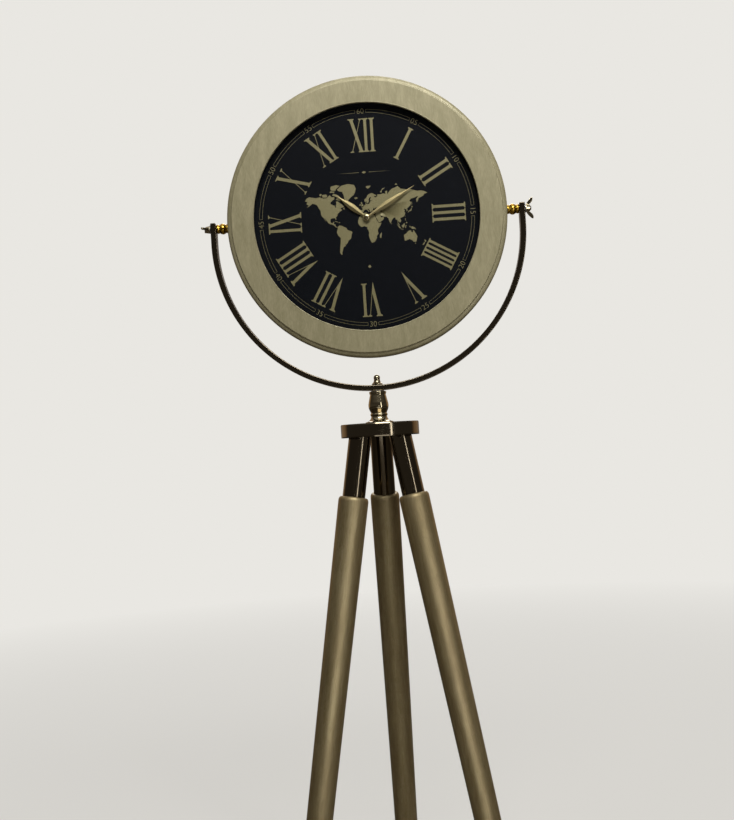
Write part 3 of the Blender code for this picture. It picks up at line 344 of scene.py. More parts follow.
def add_relief(tree, shader, height, strength, depth):
    """A relief in the surface, with its depth in mm."""
    relief = add_node(tree, "ShaderNodeBump",
                      {"Height": height, "Strength": strength, "Distance": depth * MM})
    plug(tree, shader, {"Normal": relief})


def grained_lacquer(name, attribute, figure, pore, wave, tints, **sockets):
    """Lacquered wood. Figure and pore are (across, along) sizes and wave is the drift, in mm."""
    made, tree, shader = new_material(name, **sockets)
    if attribute:
        place = add_node(tree, "ShaderNodeAttribute", attribute_name=attribute).outputs["Vector"]
    else:
        place = object_place(tree)
    drift = noise(tree, place, 5 * wave, 1.0).outputs["Color"]
    place = add_node(tree, "ShaderNodeVectorMath", {0: drift, 1: (2 * wave * MM, 0, 0), 2: place},
                     operation="MULTIPLY_ADD")
    broad = grain_noise(tree, place, *figure, 3.0)
    fine = grain_noise(tree, place, *pore, 4.0)
    both_noises = add_node(tree, "ShaderNodeMath", {0: broad, 1: fine}, operation="ADD")
    half = add_node(tree, "ShaderNodeMath", {0: both_noises, 1: 0.5}, operation="MULTIPLY")
    step = (LIGHTEST - DARKEST) / (len(tints) - 1)
    tint = ramp(tree, half, *[(DARKEST + step * index, code) for index, code in enumerate(tints)])
    plug(tree, shader, {"Base Color": tint})
    add_relief(tree, shader, fine, 0.3, 0.3)
    return made


case_lacquer = grained_lacquer(
    "champagne_lacquer_on_veneer", None, (9, 45), (1.3, 9), 9,
    ("#918A68", "#9D9574", "#AAA17F"),
    Metallic=0.25, Roughness=0.42, Coat_Weight=0.15, Coat_Roughness=0.25)
leg_lacquer = grained_lacquer(
    "champagne_lacquer_on_beech", "own_place", (9, 160), (1.2, 30), 6,
    ("#7E6E4C", "#8E7F5C", "#9F916D"),
    Metallic=0.75, Roughness=0.48, Coat_Weight=0.1, Coat_Roughness=0.25)
print("lacquers:", case_lacquer.name, leg_lacquer.name)

# %% [markdown]
# The metals. Black nickel is a thin dark plating on polished steel: what the eye sees is mostly its
# sharp dark reflections, with faint brown in them. The stem and the wing nuts are plated in bright
# nickel that has yellowed a little. The pivots are polished brass, the small screws zinc-plated
# steel. Each has a trace of uneven roughness, in patches 8 mm across and 3 mm on zinc, so that no
# highlight is perfectly even.

# %% Metals


def plated(name, base, roughness, spread=0.05, patch=8):
    """A metal whose roughness wanders by spread over patches of that size in mm."""
    made, tree, shader = new_material(name, Metallic=1.0, Base_Color=colour(base))
    clouds = noise(tree, object_place(tree), patch, 3.0)
    wander = add_node(tree, "ShaderNodeMapRange",
                      {"Value": clouds, "To Min": roughness - spread, "To Max": roughness + spread})
    plug(tree, shader, {"Roughness": wander})
    return made


black_nickel = plated("black_nickel_plate", "#696050", 0.12, 0.012)
bright_nickel = plated("yellowed_bright_nickel", "#A0957A", 0.12, 0.015)
polished_brass = plated("polished_brass", "#C09A3C", 0.16, 0.03)
pale_brass = plated("pale_lacquered_brass", "#B3A884", 0.2, 0.02)
zinc_plate = plated("zinc_plated_steel", "#A6A8AB", 0.32, 0.08, 3)
drawn_copper = plated("enamelled_copper_wire", "#B4653A", 0.35)
stamped_gold = plated("gold_lacquered_brass", "#857A57", 0.42, 0.02)
print("metals ready")

# %% [markdown]
# The dial is a sheet of aluminium in flat near-black paint. The map and the numerals are printed on
# it in old-gold ink, raised by 0.15 mm, whose powder gives it a fine speckle. The clock's movement
# is moulded in black ABS with a white cover and knob, the back is hardboard and the feet are
# rubber.

# %% Paint, print and plastics


def speckled(name, first, second, grain, roughness, depth=0.0, **sockets):
    """A dull finish in two close colours, with grains and, where asked for, a relief in mm."""
    made, tree, shader = new_material(name, Roughness=roughness, **sockets)
    grains = noise(tree, object_place(tree), grain, 2.0)
    plug(tree, shader, {"Base Color": ramp(tree, grains, (0.38, first), (0.62, second))})
    if depth:
        add_relief(tree, shader, grains, 0.5, depth)
    return made


dial_paint = speckled("matt_black_dial_paint", "#05080D", "#080B11", 3, 0.6,
                      Specular_IOR_Level=0.08)
gold_ink = speckled("old_gold_printing_ink", "#7A734E", "#89825D", 1.5, 0.45, Metallic=0.3)
black_abs = speckled("black_abs_moulding", "#141414", "#1C1C1C", 0.8, 0.5, 0.03)
white_abs = speckled("white_abs_moulding", "#D9D8D2", "#E3E2DC", 1, 0.42, 0.02)
hardboard = speckled("tempered_hardboard", "#4A3222", "#6B4B33", 1.8, 0.7, 0.15)
foot_rubber = speckled("black_rubber", "#121212", "#1F1E1D", 1, 0.8, 0.05)
circuit_laminate = speckled("phenolic_circuit_board", "#8A5A24", "#9B6A30", 1, 0.5)
battery_film = speckled("printed_battery_film", "#1B3550", "#24425F", 6, 0.3)
print("paints and plastics ready")

# %% [markdown]
# The glass is a flat pane. Real refraction would only darken the dial and add noise, so the pane is
# mostly clear through, with a share of mirror that grows towards grazing angles, as on real glass.
# Its index is set low, 1.12 for the 1.5 of glass, because the photographed pane shows next to
# nothing of the room.

# %% Clock glass
GLASS_INDEX = 1.12

clock_glass, glass_tree, glass_shader = new_material(
    "clear_float_glass", Metallic=1.0, Roughness=0.03, Base_Color=colour("#FFFFFF"))
through = add_node(glass_tree, "ShaderNodeBsdfTransparent")
edge_gloss = add_node(glass_tree, "ShaderNodeFresnel", {"IOR": GLASS_INDEX})
pane = add_node(glass_tree, "ShaderNodeMixShader", {0: edge_gloss, 1: through, 2: glass_shader})
plug(glass_tree, glass_tree.nodes["Material Output"], {"Surface": pane})
print(clock_glass.name, "ready")

# %% [markdown]
# ## Modelling helpers
#
# Most of the clock is turned, so the main helper works as a lathe: a plane is merged to one point,
# the profile is drawn by extruding that point, and spin carries it round the axis. The second
# helper draws a flat outline in the same way, fills it and gives it a height. Both leave the piece
# at the origin.

# %% Helpers for turned and flat pieces
MERGE = 0.005


def deselect():
    bpy.ops.object.select_all(action="DESELECT")


def pick(piece):
    """Make this the only selected object and the active one."""
    deselect()
    piece.select_set(True)
    bpy.context.view_layer.objects.active = piece


def edit():
    """Enter edit mode and select the whole mesh."""
    bpy.ops.object.mode_set(mode="EDIT")
    bpy.ops.mesh.select_all(action="SELECT")


def leave_edit():
    bpy.ops.object.mode_set(mode="OBJECT")


def freeze():
    """Give the selected object's place, turn and size to its mesh."""
    bpy.ops.object.transform_apply(location=True, rotation=True, scale=True)


def shade(angle=30, keep=True):
    """Shade smoothly over edges that turn by less than the angle in degrees."""
    bpy.ops.object.shade_smooth_by_angle(angle=math.radians(angle), keep_sharp_edges=keep)


def draw_points(name, points):
    """A chain of points in a new object, left in edit mode and all selected."""
    deselect()
    points = [[value * MM for value in point] for point in points]
    bpy.ops.mesh.primitive_plane_add(size=MM, location=points[0])
    piece = bpy.context.object
    piece.name = piece.data.name = name
    bpy.ops.object.mode_set(mode="EDIT")
    bpy.ops.mesh.merge(type="CENTER")
    for before, after in zip(points, points[1:]):
        step = tuple(b - a for a, b in zip(before, after))
        bpy.ops.mesh.extrude_region_move(TRANSFORM_OT_translate={"value": step})
    bpy.ops.mesh.select_all(action="SELECT")
    return piece


def close_mesh(smooth_angle=30):
    """Merge doubles, turn the faces outwards, leave edit mode and shade."""
    bpy.ops.mesh.select_all(action="SELECT")
    bpy.ops.mesh.remove_doubles(threshold=MERGE * MM)
    bpy.ops.mesh.normals_make_consistent(inside=False)
    leave_edit()
    shade(smooth_angle)


def turned(name, profile, steps=96, smooth_angle=30):
    """Turn (radius, height) points about Z. A profile that starts off the axis is closed first."""
    if profile[0][0] > MERGE:
        profile = profile + profile[:1]
    piece = draw_points(name, [(radius, 0, height) for radius, height in profile])
    bpy.ops.mesh.spin(steps=steps, angle=math.tau, center=(0, 0, 0), axis=(0, 0, 1))
    close_mesh(smooth_angle)
    return piece


def raise_by(height):
    bpy.ops.mesh.extrude_region_move(TRANSFORM_OT_translate={"value": (0, 0, height * MM)})


def flat(name, outline, low, high):
    """A flat piece with that (x, y) outline between two heights."""
    piece = draw_points(name, [(x, y, low) for x, y in outline])
    bpy.ops.mesh.edge_face_add()
    raise_by(high - low)
    close_mesh()
    return piece


# %% [markdown]
# Profiles need lines, arcs and smooth curves between them. A smooth curve is worked out from the
# points on both sides of each stretch, so that it runs through all of them without a corner.

# %% Helpers for profiles


def arc(centre, radius, start, end, steps):
    """Points on a circle, with angles in degrees."""
    turns = [math.radians(start + (end - start) * step / steps) for step in range(steps + 1)]
    return [(centre[0] + radius * math.cos(turn), centre[1] + radius * math.sin(turn))
            for turn in turns]


def dome(centre, width, rise, steps):
    """A quarter of an oval, from its top above the centre out to its rim."""
    turns = [math.pi / 2 * step / steps for step in range(steps + 1)]
    return [(centre[0] + width * math.sin(turn), centre[1] + rise * math.cos(turn))
            for turn in turns]


def curve_through(points, steps=6):
    """A smooth line through the points."""
    line = []
    ends = [points[0]] + list(points) + [points[-1]]
    for a, b, c, d in zip(ends, ends[1:], ends[2:], ends[3:]):
        for step in range(steps):
            t = step / steps
            line.append(tuple(0.5 * (2 * q + (r - p) * t + (2 * p - 5 * q + 4 * r - s) * t * t
                                     + (3 * q - p - 3 * r + s) * t ** 3)
                              for p, q, r, s in zip(a, b, c, d)))
    return line + [tuple(points[-1])]


# %% [markdown]
# The last helpers change a finished piece by a modifier, and dress it: it goes to its place, gets
# its material, and takes the place of the CAD nodes that it stands for.

# %% Helpers for finishing a piece


def modify(piece, kind, **settings):
    """Add a modifier with these settings and apply it."""
    step = piece.modifiers.new(kind.lower(), kind)
    for name, value in settings.items():
        setattr(step, name, value)
    pick(piece)
    bpy.ops.object.modifier_apply(modifier=step.name)


def combine(piece, tool, operation="DIFFERENCE"):
    """Cut the tool from the piece, or join it, and delete the tool."""
    modify(piece, "BOOLEAN", operation=operation, solver="EXACT", object=tool)
    bpy.data.objects.remove(tool)


def soften(piece, width, segments=2, angle=30):
    """Round the sharp edges by a bevel of that width, and shade it smoothly into the flats."""
    modify(piece, "BEVEL", width=width * MM, segments=segments, limit_method="ANGLE",
           angle_limit=math.radians(angle))
    shade(angle, keep=False)


def settle(piece, place):
    """Keep the piece's own coordinates as an attribute, then give it its place through its mesh."""
    pick(piece)
    freeze()
    own = piece.data.attributes.new("own_place", "FLOAT_VECTOR", "POINT")
    for value, vertex in zip(own.data, piece.data.vertices):
        value.vector = vertex.co
    piece.matrix_world = place
    freeze()


def fit(piece, place, body, slot, material, *nodes):
    """Place and dress the piece, and let it ride on its body instead of its CAD nodes."""
    settle(piece, place)
    piece.data.materials.clear()
    piece.data.materials.append(material)
    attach(piece, body)
    if nodes:
        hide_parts(*nodes)
    return piece


def copy_of(piece, name):
    """A copy with a mesh of its own."""
    twin = piece.copy()
    twin.data = piece.data.copy()
    twin.name = twin.data.name = name
    bpy.context.scene.collection.objects.link(twin)
    return twin


# %% [markdown]
# ## The case
#
# Two turned rings make the case. The front one, the bezel, is broad and flat. At its rim a rounded
# shoulder steps 2.3 mm down to a sloping band, which is the double line under the case: the steep
# shoulder falls dark, the band stays light. A bead stands 0.4 mm proud round the opening and
# catches the light all the way round, which a plain edge would do only below. The back ring is
# plain. A groove of 3 mm between them draws the dark line round the case. The dial lies on the back
# ring, under the glass.

# %% Bezel and body rings
CASE_RADIUS, OPENING_RADIUS, GLASS_RADIUS = 250, 201, 207
FRONT_DEPTH, LIP_DEPTH, JOINT_DEPTH, BACK_DEPTH = 31.5, 27, 13.5, -13.5
PANEL_SEAT, PANEL_FRONT, BACK_OPENING = 240.3, -9.7, 198
BEAD_RADIUS, BEAD_PROUD = 1.1, 0.4
GROOVE, BACK_ROUNDING, SMALL_ROUNDING = 3, 3, 0.6
RING_STEPS = 192

step_and_band = [(10.6, 0.0), (10.0, 0.0), (9.3, 0.2), (8.7, 0.75), (8.3, 1.5), (8.1, 2.3),
                 (5.7, 3.15)]
step_and_band += curve_through([(3.4, 4.1), (1.9, 5.3), (0.7, 7.2), (0.0, 10.2)], 4)
flat_depth = FRONT_DEPTH - BEAD_PROUD
bezel_profile = [(CASE_RADIUS - inside, flat_depth - drop) for inside, drop in step_and_band]
bezel_back = JOINT_DEPTH + GAP
bezel_profile += [(CASE_RADIUS, bezel_back + SMALL_ROUNDING),
                  (CASE_RADIUS - SMALL_ROUNDING, bezel_back), (GLASS_RADIUS + GAP, bezel_back),
                  (GLASS_RADIUS + GAP, LIP_DEPTH), (OPENING_RADIUS, LIP_DEPTH)]
bead_end = math.degrees(math.asin(1 - BEAD_PROUD / BEAD_RADIUS))
bezel_profile += arc((OPENING_RADIUS + BEAD_RADIUS, FRONT_DEPTH - BEAD_RADIUS), BEAD_RADIUS,
                     180, bead_end, 12)
bezel = turned("bezel_ring_turned", bezel_profile, RING_STEPS)

ring_front = JOINT_DEPTH - GROOVE
ring_profile = [(CASE_RADIUS - GROOVE, JOINT_DEPTH), (CASE_RADIUS - GROOVE, ring_front)]
ring_profile += arc((CASE_RADIUS - SMALL_ROUNDING, ring_front - SMALL_ROUNDING), SMALL_ROUNDING,
                    90, 0, 3)
ring_profile += arc((CASE_RADIUS - BACK_ROUNDING, BACK_DEPTH + BACK_ROUNDING), BACK_ROUNDING,
                    0, -90, 6)
ring_profile += [(PANEL_SEAT, BACK_DEPTH), (PANEL_SEAT, PANEL_FRONT), (BACK_OPENING, PANEL_FRONT),
                 (BACK_OPENING, JOINT_DEPTH)]
case_ring = turned("case_ring_turned", ring_profile, RING_STEPS)
print("bezel", len(bezel.data.polygons), "faces, case ring", len(case_ring.data.polygons))

# %% [markdown]
# The case needs holes: two for the threaded inserts at the sides and six for the screws at the
# back. A hole could be built into the mesh, but cutting it is what a workshop does. The cutter is a
# cylinder a little longer than the hole, and a screw's cutter goes through both rings.

# %% Holes for the inserts and screws
SCREW_CIRCLE, SCREW_HOLE, SCREW_DEPTH = 231, 2.3, 22.8
SCREW_HEADINGS = [30 + 60 * index for index in range(6)]
INSERT_HOLE, INSERT_START, INSERT_END = 6.3, 225.4, 254
CUT_START = -20


def drill(piece, name, radius, low, high, place=Matrix.Identity(4), steps=32):
    """Cut a round hole along local Z of the place."""
    deselect()
    bpy.ops.mesh.primitive_cylinder_add(vertices=steps, radius=radius * MM, depth=(high - low) * MM,
                                        location=(0, 0, (low + high) / 2 * MM))
    cutter = bpy.context.object
    cutter.name = name
    freeze()
    cutter.matrix_world = place
    combine(piece, cutter)


def screw_place(heading):
    turn = math.radians(heading)
    return moved(SCREW_CIRCLE * math.cos(turn), SCREW_CIRCLE * math.sin(turn), 0)


for heading in SCREW_HEADINGS:
    for ring in (case_ring, bezel):
        drill(ring, "screw_cut", SCREW_HOLE, CUT_START, SCREW_DEPTH, screw_place(heading), 16)
for turn in SIDES.values():
    drill(case_ring, "insert_cut", INSERT_HOLE, INSERT_START, INSERT_END, rotated(turn, "Y"))
fit(bezel, FACE, "clock", "champagne_wood", case_lacquer, "bezel_ring")
fit(case_ring, FACE, "clock", "champagne_wood", case_lacquer, "case_ring")
print("case cut and fitted")

# %% [markdown]
# ## Glass, dial and spacer
#
# The pane is 3 mm thick, the dial sheet 1.5 mm, with a hole for the pipes of the hands. A black
# ring keeps the two apart, so that the hands have room. All are turned. A flat disc could be a
# cylinder, but the lathe also gives it the small chamfer without which its rim would never catch
# the light.

# %% Glass and dial
DIAL_BACK, DIAL_FRONT = 13.8, 15.3
SPACER_INNER, SPACER_BACK, SPACER_FRONT = 203, 15.6, 23.4
GLASS_BACK, GLASS_FRONT = 23.7, 26.7
SHAFT_HOLE = 4.3
INK = 0.15
DISC_CHAMFER = 0.3


def disc(name, radius, low, high, hole=0.0, steps=RING_STEPS):
    """A turned disc with a small chamfer, with a hole where one is given."""
    rim = [(radius - DISC_CHAMFER, high), (radius, high - DISC_CHAMFER),
           (radius, low + DISC_CHAMFER), (radius - DISC_CHAMFER, low)]
    return turned(name, [(hole, high)] + rim + [(hole, low)], steps)


glass = disc("glass_pane", GLASS_RADIUS, GLASS_BACK, GLASS_FRONT)
fit(glass, FACE, "clock", "clear_glass", clock_glass, "glass")
dial = disc("dial_sheet", GLASS_RADIUS, DIAL_BACK, DIAL_FRONT, SHAFT_HOLE)
fit(dial, FACE, "clock", "dial_print", dial_paint, "dial")
spacer_profile = [(GLASS_RADIUS, SPACER_FRONT), (GLASS_RADIUS, SPACER_BACK),
                  (SPACER_INNER, SPACER_BACK), (SPACER_INNER, SPACER_FRONT)]
spacer = turned("dial_spacer_ring", spacer_profile, RING_STEPS)
fit(spacer, FACE, "clock", "black_plastic", black_abs, "dial_spacer")
print("dial front", DIAL_FRONT, "mm before the hub")

# %% [markdown]
# ## The numerals
#
# They are Roman, feet towards the hub, from 117 to 176.5 mm out. Sign writers build such letters
# from few strokes: a bar 4.9 mm wide and a hairline of 1 mm, with serifs that have a small bracket.
# A text object has no font of this kind, so each stroke is drawn as an outline, and the strokes of
# a numeral are joined into one. IIII has narrower bars that stand closer, or it would be the widest
# of all.

# %% Strokes
FOOT, TOP = 117.0, 176.5
BAR, THICK_ARM, HAIR = 4.9, 5.6, 1.0
SERIF, OVERHANG = 1.4, 2.7
BRACKETS = [(0.7, 0.3), (2.4, 0.0)]
ARM = 8.4
APEX = (0.8, FOOT - 2.5)
BAR_STEP, ARM_TO_BAR, BAR_TO_ARM = 11.5, 8.3, 9.1
SPECIAL = {"II": (5.2, 12.4), "IIII": (4.3, 8.6)}


def stroke(foot_x, top_x, width):
    """The outline in mm of a bar that may lean, with a serif on both ends."""
    def middle(y):
        return foot_x + (top_x - foot_x) * (y - FOOT) / (TOP - FOOT)

    def end(level, inward, x):
        reach = width / 2 + OVERHANG
        points = [(x, reach, level), (x, reach, level + inward * SERIF)]
        for rise, share in BRACKETS:
            y = level + inward * (SERIF + rise)
            points.append((middle(y), width / 2 + OVERHANG * share, y))
        return points

    right = end(FOOT, 1, foot_x) + end(TOP, -1, top_x)[::-1]
    return [(x + out, y) for x, out, y in right] + [(x - out, y) for x, out, y in reversed(right)]


def crossing(p, d, q, e):
    """Where the line through p along d meets the line through q along e."""
    t = ((q[0] - p[0]) * e[1] - (q[1] - p[1]) * e[0]) / (d[0] * e[1] - d[1] * e[0])
    return (p[0] + t * d[0], p[1] + t * d[1])


def cap(x, width):
    """The serif across the top of a leaning arm of a V, with its two brackets."""
    half, reach, bottom = width / 2, width / 2 + OVERHANG, TOP - SERIF - BRACKETS[-1][0]
    return [(x - reach, TOP), (x - reach, TOP - SERIF), (x - half, bottom), (x + half, bottom),
            (x + reach, TOP - SERIF), (x + reach, TOP)]


def letter(kind, bar):
    """The strokes of one letter round x = 0."""
    if kind == "I":
        return [stroke(0, 0, bar)]
    if kind == "X":
        return [stroke(ARM, -ARM, THICK_ARM), stroke(-ARM, ARM, HAIR)]
    left_edge, right_edge = (-ARM - THICK_ARM / 2, TOP), (ARM + HAIR / 2, TOP)
    left_inner, right_inner = (left_edge[0] + THICK_ARM, TOP), (right_edge[0] - HAIR, TOP)
    down = (APEX[0] - left_edge[0], APEX[1] - TOP)
    up = (APEX[0] - right_edge[0], APEX[1] - TOP)
    thick = [left_edge, APEX, crossing(left_inner, down, right_edge, up), left_inner]
    thin = [right_inner, crossing(right_inner, up, left_edge, down), APEX, right_edge]
    return [thick, thin, cap(-ARM, THICK_ARM), cap(ARM, HAIR)]


def numeral_strokes(word):
    """The strokes of a numeral, centred on x = 0."""
    strokes, x, before = [], 0.0, None
    bar, bar_step = SPECIAL.get(word, (BAR, BAR_STEP))
    for kind in word:
        if before:
            arms = {("I", "I"): bar_step, ("I", "X"): BAR_TO_ARM + ARM}
            x += arms.get((before, kind), ARM_TO_BAR + ARM)
        strokes += [[(px + x, py) for px, py in shape] for shape in letter(kind, bar)]
        before = kind
    xs = [px for shape in strokes for px, _ in shape]
    shift = (min(xs) + max(xs)) / 2
    return [[(px - shift, py) for px, py in shape] for shape in strokes]


# %% [markdown]
# Each numeral is drawn upright above the hub and then turned to its hour.

# %% Draw the numerals
NUMERALS = ["I", "II", "III", "IIII", "V", "VI", "VII", "VIII", "IX", "X", "XI", "XII"]


def at_hour(hour):
    """The dial turned so that its 12 stands at this hour."""
    return FACE @ rotated(-30 * hour)


def on_dial(piece, place=FACE):
    """Dress a piece as print on the dial."""
    return fit(piece, place, "clock", "old_gold", gold_ink)


def raised(name, outline):
    return flat(name, outline, DIAL_FRONT, DIAL_FRONT + INK)


def printed(name, outlines, place=FACE):
    """One raised print on the dial from one or more outlines."""
    whole, *others = [raised(name + "_stroke", outline) for outline in outlines]
    for other in others:
        combine(whole, other, "UNION")
    whole.name = whole.data.name = name
    return on_dial(whole, place)


for hour, word in enumerate(NUMERALS, 1):
    printed("numeral_" + str(hour), numeral_strokes(word), at_hour(hour))
print("numerals printed:", " ".join(NUMERALS))

# %% [markdown]
# ## The minute track
#
# Two thin rings run between the minute numbers and are joined by a short line at each end, so every
# piece of the track is a long thin frame. It is spun as one flat strip, inset by the line's width,
# and its middle is deleted.

# %% The track
TRACK_IN, TRACK_OUT = 186.9, 192.5
TRACK_LINE = 0.42
TRACK_GAP = 2.8


def track_piece(name):
    """One frame of the track, from 12 to 1."""
    start = math.radians(90 - TRACK_GAP)
    ends = [(radius * math.cos(start), radius * math.sin(start), DIAL_FRONT)
            for radius in (TRACK_IN, TRACK_OUT)]
    piece = draw_points(name, ends)
    bpy.ops.mesh.spin(steps=24, angle=math.radians(30 - 2 * TRACK_GAP), center=(0, 0, 0),
                      axis=(0, 0, 1))
    bpy.ops.mesh.select_all(action="SELECT")
    bpy.ops.mesh.remove_doubles(threshold=MERGE * MM)
    bpy.ops.mesh.inset(thickness=TRACK_LINE * MM)
    bpy.ops.mesh.delete(type="FACE")
    bpy.ops.mesh.select_all(action="SELECT")
    raise_by(INK)
    close_mesh()
    return piece


first_track = track_piece("track_12")
for hour in range(1, 12):
    on_dial(copy_of(first_track, "track_" + str(hour)), at_hour(hour))
on_dial(first_track)
print("track spans", [round(value / MM, 1) for value in first_track.dimensions], "mm")

# %% [markdown]
# The numbers stand in the gaps, 9 mm high, and on the lower half their tops turn to the hub so that
# they can be read. Blender's own font is enough for them, drawn a little thinner by a negative
# offset.

# %% The minute numbers
NUMBER_RADIUS, NUMBER_HEIGHT = 189.7, 9
NUMBER_THINNED = -0.016


def number(text, hour):
    """Two figures in the gap of the track at that hour."""
    deselect()
    bpy.ops.object.text_add()
    piece = bpy.context.object
    piece.name = "minute_" + text
    piece.data.body = text
    piece.data.align_x, piece.data.align_y = "CENTER", "CENTER"
    piece.data.extrude = 0.5
    piece.data.offset = NUMBER_THINNED
    bpy.ops.object.convert(target="MESH")
    levels = [vertex.co.y for vertex in piece.data.vertices]
    middle = (max(levels) + min(levels)) / 2
    scale = NUMBER_HEIGHT * MM / (max(levels) - min(levels))
    piece.data.transform(Matrix.Diagonal((scale, scale, INK * MM, 1))
                         @ Matrix.Translation((0, -middle, 0.5)))
    edit()
    close_mesh()
    upright = 180 if 3 < hour < 9 else 0
    on_dial(piece, at_hour(hour) @ moved(0, NUMBER_RADIUS, DIAL_FRONT) @ rotated(upright))


for hour in range(1, 13):
    number("{:02d}".format(5 * hour), hour)
print("minute numbers set")

# %% [markdown]
# ## Two small ornaments
#
# Above the hub a fine rule of 96 mm is broken by a small flat diamond, and a second, square one
# stands above VI.

# %% Rule and diamonds
RULE_HEIGHT, RULE_OUT, RULE_IN, RULE_HALF = 81.0, 48, 9, 0.35
LOWER_HEIGHT = -87.0


def diamond(y, half_width, half_height):
    return [(-half_width, y), (0, y - half_height), (half_width, y), (0, y + half_height)]


for name, side in (("rule_left", -1), ("rule_right", 1)):
    thorn = [(side * RULE_OUT, RULE_HEIGHT), (side * RULE_IN, RULE_HEIGHT + side * RULE_HALF),
             (side * RULE_IN, RULE_HEIGHT - side * RULE_HALF)]
    printed(name, [thorn])
printed("rule_diamond", [diamond(RULE_HEIGHT, 4.0, 2.2)])
printed("lower_diamond", [diamond(LOWER_HEIGHT, 3.0, 3.0)])
print("ornaments printed")

# %% [markdown]
# ## The world map
#
# The continents are drawn in a cylindrical projection, as on many wall maps, from a short list of
# places in degrees of longitude and latitude for each coast. One function turns degrees to
# millimetres on the dial, so that the hub comes to lie at 9 degrees east and 26 degrees north.

